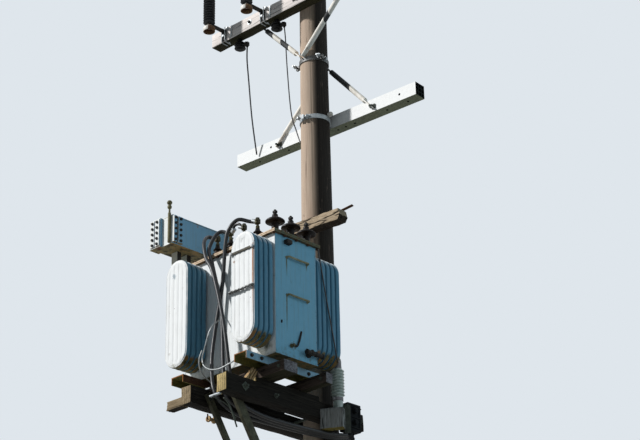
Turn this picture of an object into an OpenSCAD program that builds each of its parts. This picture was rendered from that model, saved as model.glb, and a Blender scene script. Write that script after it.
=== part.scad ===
// Pole mounted transformer, from ground level up.
// Origin: centre of the pole at ground level. +Z up, -Y side faces the street, +X along the tank.

/* [Pole] */
// height of the pole above ground
pole_h = 9300; // [8800:50:11000]
// pole diameter at ground level
pole_base_d = 310; // [290:5:340]
// pole diameter at the top
pole_top_d = 190; // [170:5:220]

/* [Platform] */
// height of the underside of the main beams
plat_z = 5360; // [4800:10:5500]
// width of a main beam
beam_w = 88; // [70:1:110]
// height of a main beam
beam_h = 115; // [90:1:150]
// reach of the beams in front of the pole centre
beam_front = 1050; // [1000:5:1150]
// reach of the beams behind the pole centre
beam_back = 190; // [175:5:300]
// thickness of the battens on the beams
pack_h = 35; // [20:1:50]
// width of a cross timber
cross_w = 120; // [90:2:150]
// height of a cross timber
cross_h = 72; // [50:1:100]
// diameter of the platform through bolts
plat_bolt_d = 18; // [12:1:22]
// width of a knee brace
knee_w = 60; // [45:1:75]
// height where the knee braces meet the pole
knee_z = 4200; // [3900:10:4500]

/* [Tank] */
// length of the tank
tank_l = 856; // [800:4:950]
// width of the tank
tank_w = 375; // [345:1:400]
// height of the tank above its skids
tank_h = 840; // [760:5:900]
// corner radius of the tank
tank_r = 8; // [5:1:25]
// overhang of the lid beyond the tank wall
lid_over = 24; // [12:1:32]
// thickness of the lid
lid_t = 12; // [8:1:20]
// width of a skid channel
skid_w = 115; // [90:1:130]
// height of a skid channel
skid_h = 52; // [40:1:70]
// wall thickness of a skid channel
skid_t = 8; // [5:1:12]

/* [Radiators] */
// width of a radiator panel
rad_w = 220; // [190:2:230]
// distance from panel to panel
rad_pitch = 44; // [41:0.5:46]
// thickness of a panel
rad_t = 38; // [30:1:39]
// panels in a group on the street side
rad_n_front = 4; // [3:1:4]
// panels in a group on the pole side
rad_n_back = 5; // [3:1:5]
// diameter of the header pipes
head_d = 60; // [40:2:76]

/* [Crossarms] */
// height of the underside of the upper crossarm
upper_z = 8587; // [8450:1:8650]
// length of the upper crossarm
upper_l = 1750; // [1600:10:2200]
// height of the upper crossarm section
upper_h = 112; // [96:1:130]
// depth of the upper crossarm section
upper_d = 90; // [75:1:110]
// height of the underside of the lower crossarm
lower_z = 7658; // [7500:2:7760]
// length of the lower crossarm
lower_l = 1680; // [1560:10:2000]
// side of the square lower crossarm
lower_s = 100; // [85:1:120]
// wall thickness of the lower crossarm
lower_wall = 6; // [4:0.5:9]
// diameter of the holes through the lower crossarm
arm_hole_d = 18; // [12:1:20]

/* [Bushings] */
// diameter of the dome on a high voltage bushing
hv_shed_d = 131; // [100:1:140]
// distance between the high voltage bushings
hv_pitch = 145; // [141:1:150]
// distance between the low voltage bushings
lv_pitch = 130; // [115:1:140]
// diameter of a low voltage cable
cable_d = 26; // [18:1:30]

/* [End box] */
// width of the end box
box_w = 188; // [170:2:220]
// length of the end box
box_l = 568; // [500:4:600]
// height of the end box
box_h = 212; // [180:2:240]

/* [Hidden] */
$fn = 48;
upper_turn = 1.5;
lower_turn = 4.3;

function pole_d(z) = pole_base_d + (pole_top_d - pole_base_d) * z / pole_h;
function pole_r(z) = pole_d(z) / 2;

// platform heights and places
beam_in = pole_r(plat_z);
beam_out = beam_in + beam_w;
beam_top = plat_z + beam_h;
pack_top = beam_top + pack_h;
cross_top = pack_top + cross_h;

// tank
tank_x = -76;
tank_y = -572.5;
tank_z = cross_top + skid_h;
tank_top = tank_z + tank_h;
lid_top = tank_top + lid_t;
tank_end = tank_x + tank_l / 2;
tank_far = tank_x - tank_l / 2;
skid_x = [tank_end - 144, tank_far + 116];
skid_y0 = -930;
skid_y1 = -225;
cross_y = [-745, -383];
cross_x0 = skid_x[1] - skid_w / 2 - 24;
cross_x1 = [skid_x[0] + skid_w / 2 + 145, skid_x[0] + skid_w / 2 + 160];

// radiators
rad_gap = 14;
rad_h = tank_h - 80;
rad_z = tank_z + 56;
rad_x = tank_l / 2 - rad_w / 2;
rad_out = tank_w / 2 + rad_gap + rad_t / 2;
rad_face = rad_out + (rad_n_front - 1) * rad_pitch + rad_t / 2;

// end box
box_z = tank_top + 191;
box_x1 = tank_far - 54;
box_x0 = box_x1 - box_w;
box_y0 = -848;
box_y1 = box_y0 + box_l;

// helpers
module bar(x0, x1, y0, y1, z0, z1) {
    translate([x0, y0, z0]) cube([x1 - x0, y1 - y0, z1 - z0]);
}

module rod_x(x0, x1, d) {
    translate([x0, 0, 0]) rotate([0, 90, 0]) cylinder(d = d, h = x1 - x0);
}

module rod_y(y0, y1, d) {
    translate([0, y0, 0]) rotate([-90, 0, 0]) cylinder(d = d, h = y1 - y0);
}

function unit(v) = v / norm(v);
function blend(a, b, c, d, t) = 0.5 * (2 * b + (c - a) * t + (2 * a - 5 * b + 4 * c - d) * t * t
    + (3 * b - a - 3 * c + d) * t * t * t);
function route(p, k) = [for (i = [0 : len(p) - 2]) for (j = [0 : k - 1])
    blend(p[max(i - 1, 0)], p[i], p[i + 1], p[min(i + 2, len(p) - 1)], j / k), p[len(p) - 1]];
function heading(p, i) = unit(p[min(i + 1, len(p) - 1)] - p[max(i - 1, 0)]);
function carry(u, t) = unit(u - (u * t) * t);
function frames(p, i, u) = i == len(p) ? [] :
    let (w = carry(u, heading(p, i))) concat([w], frames(p, i + 1, w));
function ring(c, t, d, u, n) = let (v = cross(t, u))
    [for (k = [0 : n - 1]) c + d / 2 * (cos(360 * k / n) * u + sin(360 * k / n) * v)];

// round cable through the given points, its rings carried along without twist
module cable(points, d, side, k = 2, n = 10) {
    p = route(points, k);
    w = frames(p, 0, side);
    m = len(p);
    verts = [for (i = [0 : m - 1]) each ring(p[i], heading(p, i), d, w[i], n)];
    sides = [for (i = [0 : m - 2]) for (j = [0 : n - 1])
        [i * n + j, i * n + (j + 1) % n, (i + 1) * n + (j + 1) % n, (i + 1) * n + j]];
    ends = [[for (j = [n - 1 : -1 : 0]) j], [for (j = [0 : n - 1]) (m - 1) * n + j]];
    polyhedron(points = verts, faces = concat(sides, ends), convexity = 6);
}

// pole
module pole() color("peru") {
    cylinder(d1 = pole_base_d, d2 = pole_top_d, h = pole_h, $fn = 96);
}

// upper crossarm on the near face of the pole
arm_back = pole_r(upper_z);
module upper_frame() {
    rotate([0, 0, upper_turn]) translate([0, -arm_back, upper_z]) children();
}

module upper_crossarm() color("lightgray") {
    upper_frame() bar(-upper_l / 2, upper_l / 2, -upper_d, 0, 0, upper_h);
}

// tube brace with flattened ends, from foot a to head b
module tube_brace(a, b, d, flat, side) {
    l = norm(b - a);
    t = unit(b - a);
    pitch = acos(t[2]);
    yaw = atan2(t[1], t[0]);
    translate(a) rotate([0, pitch, yaw]) {
        translate([0, 0, flat]) cylinder(d = d, h = l - flat - 50);
        rotate([0, 0, side]) {
            translate([-d * 0.5, -4, -22]) cube([d, 8, flat + 34]);
            translate([-d * 0.5, -4, l - 62]) cube([d, 8, 84]);
        }
    }
}

band_u_z = upper_z - 412;
brace_d = 38;

// the upper braces run in front of the pole up to the back of the upper crossarm
module upper_braces() color("silver") {
    y = -pole_r(band_u_z) - 14;
    for (s = [-1, 1]) {
        x = s * 412 - 6;
        foot = [x, -(arm_back + x * sin(-upper_turn)) + 5, upper_z + 22];
        tube_brace(foot, [s * 23 - 8, y, band_u_z + 26], brace_d, 62, 90);
    }
}

// two half bands clamped round the pole, with ears at both sides
module pole_band(z, w, t, ear, bolt, y) {
    r = pole_r(z);
    translate([0, 0, z - w / 2]) difference() {
        union() {
            cylinder(r = r + t, h = w, $fn = 96);
            bar(-r - ear, r + ear, y - t - 3, y + t + 3, 0, w);
        }
        translate([0, 0, -1]) cylinder(r = r, h = w + 2, $fn = 96);
    }
    for (s = [-1, 1]) translate([s * (r + ear * 0.55), 0, z]) rod_y(y - t - 22, y + t + 22, bolt);
}

module upper_band() color("dimgray") pole_band(band_u_z - 12, 34, 6, 32, 14, -42);
band_l_z = lower_z + 27;
module lower_band() color("silver") pole_band(band_l_z, 34, 6, 26, 14, -30);

// arresters in front of the upper crossarm
arr_x = [-737, -328, 737];
arr_y = -365;
strap_z = upper_z + 83;
arm_face = -arm_back - upper_d;

module arrester_brackets() color("dimgray") {
    for (x = arr_x) {
        face = arm_face + x * sin(upper_turn);
        translate([x, 0, 0]) {
            bar(-20, 20, arr_y - 24, face, strap_z, strap_z + 8);
            bar(-20, 20, face - 8, face, strap_z - 74, strap_z + 8);
        }
    }
}

arr_h = 300;
arr_sheds = 14;
function shed(i) = let (p = arr_h / arr_sheds, z = i * p)
    [[30, z], [45, z + p * 0.3], [45, z + p * 0.42], [30, z + p * 0.75]];
module line_arresters() color("darkslategray") {
    for (x = arr_x) translate([x, arr_y, strap_z + 8]) {
        rotate_extrude() polygon(concat([[0, 0]], [for (i = [0 : arr_sheds - 1]) each shed(i)],
            [[30, arr_h], [14, arr_h], [14, arr_h + 40], [0, arr_h + 40]]));
    }
}

module arrester_feet() color("white") {
    for (x = arr_x) translate([x, arr_y, strap_z]) rotate_extrude()
        polygon([[0, 0], [0, -26], [36, -26], [38, -68], [45, -68], [45, -14], [34, -8], [16, -6], [16, 0]]);
}

// bell insulators hung under the upper crossarm
bell_x = [-630, -235, 630];
bell_y = -145;
module bell_insulators() color("black") {
    for (x = bell_x) translate([x, bell_y, upper_z]) {
        rotate_extrude() polygon([[0, 0], [17, 0], [17, -22], [30, -30], [45, -44], [45, -50],
            [30, -54], [30, -64], [43, -74], [43, -80], [24, -86], [24, -96], [0, -96]]);
        translate([0, 0, -72]) rod_x(20, 78, 20);
        translate([64, -13, -88]) cube([26, 26, 32]);
    }
}

arm_l = upper_z - 90;
module drop_leads() color("black") {
    cable([[-553, bell_y, arm_l], [-590, -112, upper_z - 180], [-622, -65, upper_z - 327],
        [-635, -20, lower_z + 302], [-651, 43, lower_z + 28]], 11, [0, 1, 0], 1, 8);
    cable([[-158, bell_y, arm_l], [-172, -120, upper_z - 170], [-176, -100, upper_z - 437],
        [-170, -72, lower_z + 152], [-146, -46, lower_z + 2],
        [-100, -52, lower_z - 118]], 9, [0, 1, 0], 1, 8);
}

// lower crossarm behind the pole, hollow with a grid of webs from end to end
module lower_frame() {
    rotate([0, 0, lower_turn]) translate([-14, pole_r(lower_z), lower_z]) children();
}

arm_hole_x = [-503, 697];
arm_hole_down = [-657, -372, 100, 172, 253, 548, 734];
module lower_crossarm() color("white") {
    w = lower_wall;
    c = (lower_s - 4 * w) / 3;
    lower_frame() difference() {
        bar(-lower_l / 2, lower_l / 2, 0, lower_s, 0, lower_s);
        for (i = [0 : 2]) for (j = [0 : 2])
            bar(-lower_l / 2 - 1, lower_l / 2 + 1, w + i * (c + w), w + i * (c + w) + c,
                w + j * (c + w), w + j * (c + w) + c);
        for (x = arm_hole_x) translate([x, 0, lower_s / 2]) rod_y(-1, lower_s + 1, arm_hole_d);
        for (x = arm_hole_down) translate([x, lower_s / 2, -1]) cylinder(d = arm_hole_d, h = lower_s + 2);
    }
}

module lower_braces() color("silver") {
    y = pole_r(band_u_z) + 22;
    yf = pole_r(lower_z) - 5;
    a = lower_turn;
    for (s = [-1, 1]) {
        x = s * 440;
        foot = [x * cos(a) - yf * sin(a), x * sin(a) + yf * cos(a), lower_z + 40];
        tube_brace(foot, [s * 21, y, band_u_z - 10], brace_d, 95, 90);
    }
}

// short timber in front of the pole above the lid, one corner broken off
timber_z = tank_top + 278;
module top_timber() color("tan") {
    rotate([0, 0, 6]) translate([0, -pole_r(timber_z), timber_z]) rotate([90, 0, 0])
        linear_extrude(height = 90)
        polygon([[-150, 0], [345, 0], [368, 34], [352, 83], [-150, 83]]);
}

module top_strap() color("dimgray") {
    rotate([0, 0, 6]) translate([262, -pole_r(timber_z) - 30, timber_z + 83]) rotate([0, -16, 14])
        cube([140, 26, 6]);
}

// platform
bolt_y = [-887, -620];
clamp_y = [-150, 150];
bolt_z = plat_z + beam_h / 2;
module main_beams() color("saddlebrown") {
    for (s = [-1, 1]) difference() {
        bar(s * (beam_in + beam_w / 2) - beam_w / 2, s * (beam_in + beam_w / 2) + beam_w / 2,
            -beam_front, beam_back, plat_z, beam_top);
        for (y = concat(bolt_y, clamp_y)) translate([0, y, bolt_z])
            rod_x(-beam_out - 1, beam_out + 1, plat_bolt_d);
    }
}

module beam_packers() color("sienna") {
    for (s = [0, 1]) mirror([s, 0, 0])
        bar(beam_in, beam_out - 10, -780, -215, beam_top, pack_top);
}

module cross_timbers() color("sienna") {
    for (i = [0, 1])
        bar(cross_x0, cross_x1[i], cross_y[i], cross_y[i] + cross_w * (1 - i / 2), pack_top, cross_top);
}

module end_batten() color("tan") {
    x = -beam_out;
    bar(x - 146, x, -beam_front, -beam_front + 62, plat_z - 4, plat_z + 56);
}

// light flat bars at the front of the beams
module front_bars() color("silver") {
    bar(-beam_in - 60, -beam_in + 24, -912, -896, beam_top, beam_top + 10);
    bar(beam_in - 72, beam_in + 22, -beam_front + 4, -beam_front + 22, plat_z - 10, plat_z);
}

// knee brace: angle from the inner face of a beam down to the pole
knee_y = -900;
knee_top = plat_z + 70;
knee_foot = -pole_r(knee_z) - 6;
module knee() {
    dy = knee_foot - knee_y;
    dz = knee_top - knee_z;
    l = norm([dy, dz]);
    x = beam_in;
    difference() {
        translate([x, knee_foot, knee_z]) rotate([atan2(dy, dz), 0, 0]) {
            bar(-6, 0, -knee_w / 2, knee_w / 2, 0, l + 20);
            bar(-26, 0, -knee_w / 2, -knee_w / 2 + 6, 0, l + 20);
        }
        translate([0, bolt_y[0], bolt_z]) rod_x(x - 40, x + 10, plat_bolt_d);
    }
}

module knee_braces() color("olive") {
    knee();
    mirror([1, 0, 0]) knee();
}

module knee_band() color("dimgray") {
    z = knee_z + 20;
    r = pole_r(z);
    difference() {
        union() {
            translate([0, 0, z - 25]) cylinder(r = r + 7, h = 50, $fn = 96);
            for (s = [0, 1]) mirror([s, 0, 0])
                bar(beam_in, beam_in + 8, knee_foot - 34, 0, z - 25, z + 25);
        }
        translate([0, 0, z - 26]) cylinder(r = r, h = 52, $fn = 96);
    }
}

// thin rods from the front bar back to the right knee brace
module brace_rods() color("gray") {
    cable([[beam_in - 14, -975, plat_z - 14], [beam_in - 34, -905, plat_z - 45],
        [beam_in - 36, -842, plat_z - 170]],
        10, [1, 0, 0], 1, 8);
    cable([[beam_in - 40, -1040, plat_z - 14], [beam_in - 52, -905, plat_z - 38],
        [beam_in - 46, -842, plat_z - 110]],
        8, [1, 0, 0], 1, 8);
}

module platform_bolts() color("gray") {
    for (s = [0, 1]) mirror([s, 0, 0]) for (i = [0, 1]) translate([0, bolt_y[i], bolt_z]) {
        rod_x(beam_in - 26, beam_out + 18, plat_bolt_d);
        translate([beam_out, 0, 0]) rotate([45 * (1 - i), 0, 0]) bar(0, 5, -21, 21, -21, 21);
        rod_x(beam_out + 4, beam_out + 16, 30);
    }
    for (y = clamp_y) translate([0, y, bolt_z]) {
        rod_x(-beam_out - 20, beam_out + 20, plat_bolt_d);
        for (s = [-1, 1]) translate([s * (beam_out + 2.5), 0, 0]) bar(-2.5, 2.5, -22, 22, -22, 22);
        for (s = [-1, 1]) translate([s * (beam_out + 10), 0, 0]) rod_x(-6, 6, 30);
    }
}

// split wood wedges between the right beam and the skid
module packing_wedges() color("burlywood") {
    h = cross_top - beam_top;
    for (i = [0 : 2]) translate([beam_out - 44, -888 + i * 37, beam_top]) rotate([90, 0, 90])
        linear_extrude(height = 42)
        polygon([[0, 0], [29, 0], [44 - i * 6, h - i * 9], [24 - i * 4, h - i * 9]]);
}

// right side of the pole
blk = [[beam_out, -223], [beam_out + 135, -150], [beam_out + 106, -97], [beam_out, -154]];
blk_z = plat_z - 75;
blk_top = blk_z + 137;
module packing_block() color("gray") {
    translate([0, 0, blk_z]) linear_extrude(height = blk_top - blk_z) polygon(blk);
}

arr_c = [beam_out + 62, -115];
module block_strap() color("silver") {
    x = arr_c[0];
    translate([x + 40, -74, blk_z - 18]) rotate([0, 0, 40]) bar(-18, 22, -4, 0, 0, 190);
    bar(beam_out, x + 50, -78, -72, blk_top + 14, blk_top + 44);
}

module connector_block() color("black") {
    bar(beam_out, beam_out + 82, -45, 80, plat_z - 55, plat_z + 133);
    translate([beam_out + 82, 20, plat_z + 82]) rod_x(0, 22, 40);
    translate([beam_out + 82, 20, plat_z + 4]) rod_x(0, 22, 40);
}

arr2_n = 9;
function rib(i) = let (p = 185 / arr2_n, z = 93 + i * p)
    [[34, z], [45, z + p * 0.35], [45, z + p * 0.5], [34, z + p * 0.85]];
module porcelain_arrester() color("lightgray") {
    translate([arr_c[0], arr_c[1], blk_top]) rotate_extrude()
        polygon(concat([[0, 0], [32, 0], [32, 90]], [for (i = [0 : arr2_n - 1]) each rib(i)],
            [[34, 280], [27, 284], [27, 346], [22, 356], [8, 356], [8, 372], [0, 372]]));
}

// transformer
module skid(x) {
    difference() {
        bar(x - skid_w / 2, x + skid_w / 2, skid_y0, skid_y1, cross_top, tank_z);
        bar(x - skid_w / 2 + skid_t, x + skid_w / 2 - skid_t, skid_y0 - 1, skid_y1 + 1,
            cross_top - 1, tank_z - skid_t);
    }
}

module skids() color("steelblue") {
    for (x = skid_x) skid(x);
}

module rounded_block(l, w, h, r) {
    translate([-l / 2 + r, -w / 2, 0]) cube([l - 2 * r, w, h]);
    translate([-l / 2, -w / 2 + r, 0]) cube([l, w - 2 * r, h]);
    for (x = [-1, 1]) for (y = [-1, 1])
        translate([x * (l / 2 - r), y * (w / 2 - r), 0]) cylinder(r = r, h = h);
}

module tank() color("lightsteelblue") {
    translate([tank_x, tank_y, tank_z]) {
        rounded_block(tank_l, tank_w, tank_h, tank_r);
        translate([0, 0, tank_h - 10])
            rounded_block(tank_l + 2 * lid_over, tank_w + 2 * lid_over, 10, 8);
    }
}

module tank_lid() color("lightsteelblue") {
    translate([tank_x, tank_y, tank_top])
        rounded_block(tank_l + 2 * lid_over, tank_w + 2 * lid_over, lid_t, 8);
}

// one pressed panel standing in the xz plane
module panel(w, t, h) {
    r = w / 2;
    translate([-r, -t / 2, r]) cube([w, t, h - 2 * r]);
    for (z = [r, h - r]) translate([0, -t / 2, z]) rotate([-90, 0, 0]) cylinder(r = r, h = t);
}

module radiator(sx, sy, n) {
    translate([tank_x + sx * rad_x, tank_y, rad_z]) {
        for (i = [0 : n - 1]) translate([0, sy * (rad_out + i * rad_pitch), 0]) {
            translate([0, 0, 6]) panel(rad_w - 12, rad_t, rad_h - 12);
            panel(rad_w, rad_t - 6, rad_h);
        }
        for (z = [rad_w / 2, rad_h - rad_w / 2]) translate([0, 0, z]) {
            y0 = sy * tank_w / 2;
            y1 = sy * (rad_out + (n - 1) * rad_pitch);
            rod_y(min(y0, y1), max(y0, y1), head_d);
        }
    }
}

module radiator_front_right() color("lightsteelblue") radiator(1, -1, rad_n_front);
module radiator_front_left() color("lightsteelblue") radiator(-1, -1, rad_n_front);
module radiator_back_right() color("lightsteelblue") radiator(1, 1, rad_n_back);
module radiator_back_left() color("lightsteelblue") radiator(-1, 1, rad_n_back);

module radiator_straps() color("dimgray") {
    for (z = [rad_h * 0.47, rad_h * 0.825]) translate([tank_x + rad_x, tank_y - rad_face, rad_z + z])
        bar(-rad_w / 2 + 8, rad_w / 2 - 8, -7, 0, -9, 9);
}

module end_fittings() color("slategray") {
    x = tank_end;
    for (z = [tank_top - 154, tank_top - 419]) {
        translate([x + 22, 0, z]) rod_y(-665, -460, 14);
        for (y = [-655, -470]) translate([x, y, z]) rod_x(0, 22, 12);
    }
    bar(x, x + 34, -678, -628, tank_top - 66, tank_top - 36);
    translate([x, -622, tank_z + 80]) rod_x(0, 34, 26);
    translate([x, 0, 0]) hull() {
        translate([0, -530, tank_z + 200]) rod_x(0, 12, 14);
        translate([0, -568, tank_z + 90]) rod_x(0, 12, 14);
    }
    translate([x, -470, tank_z + 60]) rod_x(0, 40, 44);
    translate([x + 36, 0, tank_z + 60]) rod_y(-520, -372, 30);
}

hv_x = tank_end - 82;
hv_y = -530;
module hv_bushings() color("saddlebrown") {
    for (i = [-1 : 1]) translate([hv_x, hv_y + i * hv_pitch, lid_top]) rotate_extrude() {
        r = hv_shed_d / 2;
        polygon([[0, 0], [29, 0], [29, 20], [24, 26], [24, 92], [30, 100], [r, 106], [r, 114],
            [r * 0.66, 130], [r * 0.36, 138], [20, 150], [20, 160], [12, 166], [12, 198], [0, 198]]);
    }
}

lv_x0 = tank_x + 1 - 1.5 * lv_pitch;
lv_y = -690;
lv_z = lid_top + 160;
function lv_x(i) = lv_x0 + i * lv_pitch;
module lv_bushings() color("dimgray") {
    for (i = [0 : 3]) translate([lv_x(i), lv_y, lid_top]) {
        rotate_extrude() polygon([[0, 0], [30, 0], [30, 16], [22, 22], [22, 36], [34, 44], [34, 50],
            [22, 58], [22, 66], [30, 74], [30, 79], [18, 88], [14, 104], [9, 108], [9, 182], [0, 182]]);
        bar(-17, 17, -12, 12, 138, 172);
    }
}

// low voltage cables, from the bushings down between the beams to the connector block
z0 = lid_top;
lay = [0, 0, 1];
module lv_cables() color("black") {
    x1 = beam_out;
    under = blk_z - 15;
    cable([[lv_x(0) - 17, lv_y, lv_z], [lv_x(0) - 60, lv_y - 32, z0 + 182], [lv_x(0) - 14, -802, z0 + 100],
        [-218, -842, z0 - 46], [-128, -860, z0 - 188], [-10, -876, z0 - 560],
        [70, -888, beam_top + 60], [84, -850, plat_z + 22], [94, -620, plat_z - 48],
        [x1 - 12, -240, under], [x1 + 44, -60, under], [x1 + 58, -12, under + 20]],
        cable_d, lay, 2, 10);
    cable([[lv_x(1) - 17, lv_y, lv_z], [lv_x(1) - 72, lv_y - 24, z0 + 186], [-236, -752, z0 + 140],
        [-242, -795, z0 + 34], [-183, -815, z0 - 100], [-71, -837, z0 - 474],
        [-8, -872, beam_top + 90], [36, -866, plat_z + 18], [56, -612, plat_z - 48],
        [x1 - 47, -232, under], [x1 + 16, -34, under], [x1 + 32, 22, under + 20]],
        cable_d, lay, 2, 10);
    cable([[lv_x(3) - 17, lv_y, lv_z], [58, -706, z0 + 174], [5, -762, z0 + 186], [-48, -790, z0 + 130],
        [-78, -796, z0 + 30], [-114, -790, z0 - 260], [-158, -812, z0 - 580],
        [-150, -846, beam_top + 190], [-70, -880, plat_z + 70], [-14, -760, plat_z - 36],
        [18, -604, plat_z - 54], [x1 - 82, -224, under], [x1 - 6, 2, under], [x1 + 12, 58, under + 20]],
        cable_d, lay, 2, 10);
    cable([[lv_x(2) - 17, lv_y, lv_z], [lv_x(2) - 42, lv_y - 8, lv_z + 34],
        [lv_x(2) - 88, lv_y - 8, lv_z + 34], [lv_x(1) + 17, lv_y, lv_z]], 20, [0, 1, 0], 2, 10);
}

// light earth wire at the front and the lead of the porcelain arrester at the back
module thin_wires() color("silver") {
    front = cross_y[0];
    cable([[-215, front, cross_top - 24], [-200, -880, cross_top + 28], [-188, -922, cross_top + 98],
        [-160, -922, cross_top + 168]], 9, [1, 0.3, 0], 1, 8);
    cable([[skid_x[0] - skid_w / 2, -900, tank_z - 20], [100, -925, cross_top + 4],
        [10, -930, cross_top - 7], [-86, -922, cross_top + 18], [-160, -905, cross_top + 68],
        [-180, -900, cross_top + 118], [-162, -905, cross_top + 163], [-100, -895, cross_top + 318],
        [-110, tank_y - tank_w / 2, cross_top + 428]], 9, [0.4, 0.9, 0.2], 1, 8);
    cable([[tank_end + 12, tank_y + tank_w / 2 + 12, tank_top - 12], [tank_end + 12, -345, tank_top - 144],
        [tank_end + 12, -310, tank_top - 314], [tank_end + 12, -258, tank_top - 544],
        [tank_end + 12, -234, tank_z + 186], [tank_end + 4, -212, tank_z + 124],
        [tank_end - 18, -172, tank_z + 90], [arr_c[0] + 26, arr_c[1] - 14, blk_top + 332],
        [arr_c[0] + 6, arr_c[1] - 4, blk_top + 364]],
        9, [1, 0, 0], 1, 8);
}

// end box beside the tank
module end_box() color("lightsteelblue") {
    bar(box_x0, box_x1, box_y0, box_y1, box_z, box_z + box_h);
    bar(box_x0, box_x0 + 108, box_y0 - 42, box_y0 + 1, box_z, box_z + box_h);
}

module box_straps() color("lightsteelblue") {
    bar(box_x1, box_x1 + 20, box_y0, box_y0 + 84, box_z + 6, box_z + box_h - 6);
    bar(box_x0 + 14, box_x0 + 98, box_y0 - 50, box_y0 - 42, box_z + 44, box_z + box_h - 6);
}

module box_pipe() color("olive") {
    translate([box_x1 - 20, box_y0 - 11, box_z + 4]) rotate_extrude()
        polygon([[0, 0], [11, 0], [11, 222], [7, 226], [7, 256], [15, 258], [15, 276], [9, 278],
            [9, 284], [16, 290], [19, 300], [16, 310], [8, 316], [0, 317]]);
}

module box_brackets() color("slategray") {
    for (y = [-728, -640, -340]) {
        bar(box_x0 + 46, box_x0 + 106, y, y + 36, tank_top - 60, box_z);
        bar(box_x0 + 106, tank_far, y, y + 36, tank_top - 60, tank_top - 20);
    }
}

pole();
upper_crossarm();
upper_braces();
upper_band();
arrester_brackets();
line_arresters();
arrester_feet();
bell_insulators();
drop_leads();
lower_crossarm();
lower_braces();
lower_band();
top_timber();
top_strap();
main_beams();
beam_packers();
cross_timbers();
end_batten();
front_bars();
knee_braces();
knee_band();
brace_rods();
platform_bolts();
packing_wedges();
packing_block();
block_strap();
connector_block();
porcelain_arrester();
skids();
tank();
tank_lid();
radiator_front_right();
radiator_front_left();
radiator_back_right();
radiator_back_left();
radiator_straps();
end_fittings();
hv_bushings();
lv_bushings();
lv_cables();
thin_wires();
end_box();
box_straps();
box_pipe();
box_brackets();
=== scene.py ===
import functools
import math

import bmesh
import bpy
from mathutils import Matrix, Vector, noise


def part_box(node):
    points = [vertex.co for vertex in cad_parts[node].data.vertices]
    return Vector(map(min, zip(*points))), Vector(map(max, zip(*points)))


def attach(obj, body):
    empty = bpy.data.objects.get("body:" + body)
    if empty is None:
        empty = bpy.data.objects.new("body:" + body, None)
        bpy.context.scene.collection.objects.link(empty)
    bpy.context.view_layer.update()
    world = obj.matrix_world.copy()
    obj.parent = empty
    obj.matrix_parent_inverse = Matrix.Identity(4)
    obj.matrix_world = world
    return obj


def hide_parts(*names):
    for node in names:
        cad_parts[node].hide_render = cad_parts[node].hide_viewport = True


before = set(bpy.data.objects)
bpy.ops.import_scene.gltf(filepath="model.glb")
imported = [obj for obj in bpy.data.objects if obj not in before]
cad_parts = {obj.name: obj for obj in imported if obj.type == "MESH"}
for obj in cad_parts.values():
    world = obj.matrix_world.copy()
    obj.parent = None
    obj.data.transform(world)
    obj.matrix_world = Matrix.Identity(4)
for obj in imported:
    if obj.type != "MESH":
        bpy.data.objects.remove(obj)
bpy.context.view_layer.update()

# Camera, light and floor

# the eye, in metres, beside the pole's foot
EYE = Vector((7.934, -8.186, 1.6))
YAW, PITCH, ROLL = math.radians(44), math.radians(25), math.radians(1.15)
SENSOR_MM, FOCAL_PX, FRAME_PX = 36, 1800, 640
# each lamp: the way its light travels, its strength, its breadth in degrees and its colour
LAMPS = (
    ((0.52, 0.62, -0.588), 3.8, 4, (1, 1, 1)),
    ((-0.8, -0.45, -0.12), 0.56, 40, (0.61, 0.87, 1)),
)
FILL_COLOUR, FILL_STRENGTH = (0.76, 0.91, 1.0, 1), 0.15
BACKDROP, PLAIN_GROUND = "#dfe6ec", "#7c8184"
# the ways that a face or a fitting can point, named as seen from the front
LEFT, RIGHT, FRONT, BACK = (-1, 0, 0), (1, 0, 0), (0, -1, 0), (0, 1, 0)
DOWN, UP = (0, 0, -1), (0, 0, 1)


def set_camera():
    """A level eye beside the pole's foot, looking up at the transformer."""
    ahead = Vector((-math.sin(YAW) * math.cos(PITCH), math.cos(YAW) * math.cos(PITCH), math.sin(PITCH)))
    right = Vector((math.cos(YAW), math.sin(YAW), 0))
    down = ahead.cross(right)
    side = right * math.cos(ROLL) + down * math.sin(ROLL)
    below = down * math.cos(ROLL) - right * math.sin(ROLL)
    turn = Matrix((side, -below, -ahead)).transposed()
    camera = bpy.data.objects.new("camera", bpy.data.cameras.new("camera"))
    camera.data.lens = SENSOR_MM * FOCAL_PX / FRAME_PX
    camera.data.sensor_width = SENSOR_MM
    camera.data.clip_end = 200
    camera.matrix_world = Matrix.Translation(EYE) @ turn.to_4x4()
    bpy.context.scene.collection.objects.link(camera)
    bpy.context.scene.camera = camera


def srgb(code):
    """An sRGB hex colour as the linear values that a socket takes."""
    parts = [int(code[i:i + 2], 16) / 255 for i in (1, 3, 5)]
    return tuple(p / 12.92 if p <= 0.04045 else ((p + 0.055) / 1.055) ** 2.4 for p in parts) + (1.0,)


def node(tree, kind, inputs=None, out=None, stops=(), **settings):
    """Adds one node with its settings, socket values or links, and ramp stops. Returns the output in use."""
    new = tree.nodes.new("ShaderNode" + kind)
    for key, value in settings.items():
        setattr(new, key, value)
    for key, value in (inputs or {}).items():
        if isinstance(value, bpy.types.NodeSocket):
            tree.links.new(value, new.inputs[key])
        else:
            new.inputs[key].default_value = value
    if stops:
        elements = new.color_ramp.elements
        elements[0].position, elements[1].position = stops[0][0], stops[-1][0]
        for place, _ in stops[1:-1]:
            elements.new(place)
        for element, (_, code) in zip(elements, stops):
            element.color = srgb(code)
    if out is not None:
        return new.outputs[out]
    return next((socket for socket in new.outputs if socket.enabled), None)


def seen_by_eye(add):
    """1 for what the camera sees, straight or in metal and glass, and 0 for light that falls on things."""
    camera, glossy, through = (add("LightPath", out=f"Is {kind} Ray")
                               for kind in ("Camera", "Glossy", "Transmission"))
    seen = add("Math", {0: camera, 1: glossy}, operation="ADD")
    return add("Math", {0: seen, 1: through}, operation="ADD", use_clamp=True)


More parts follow.
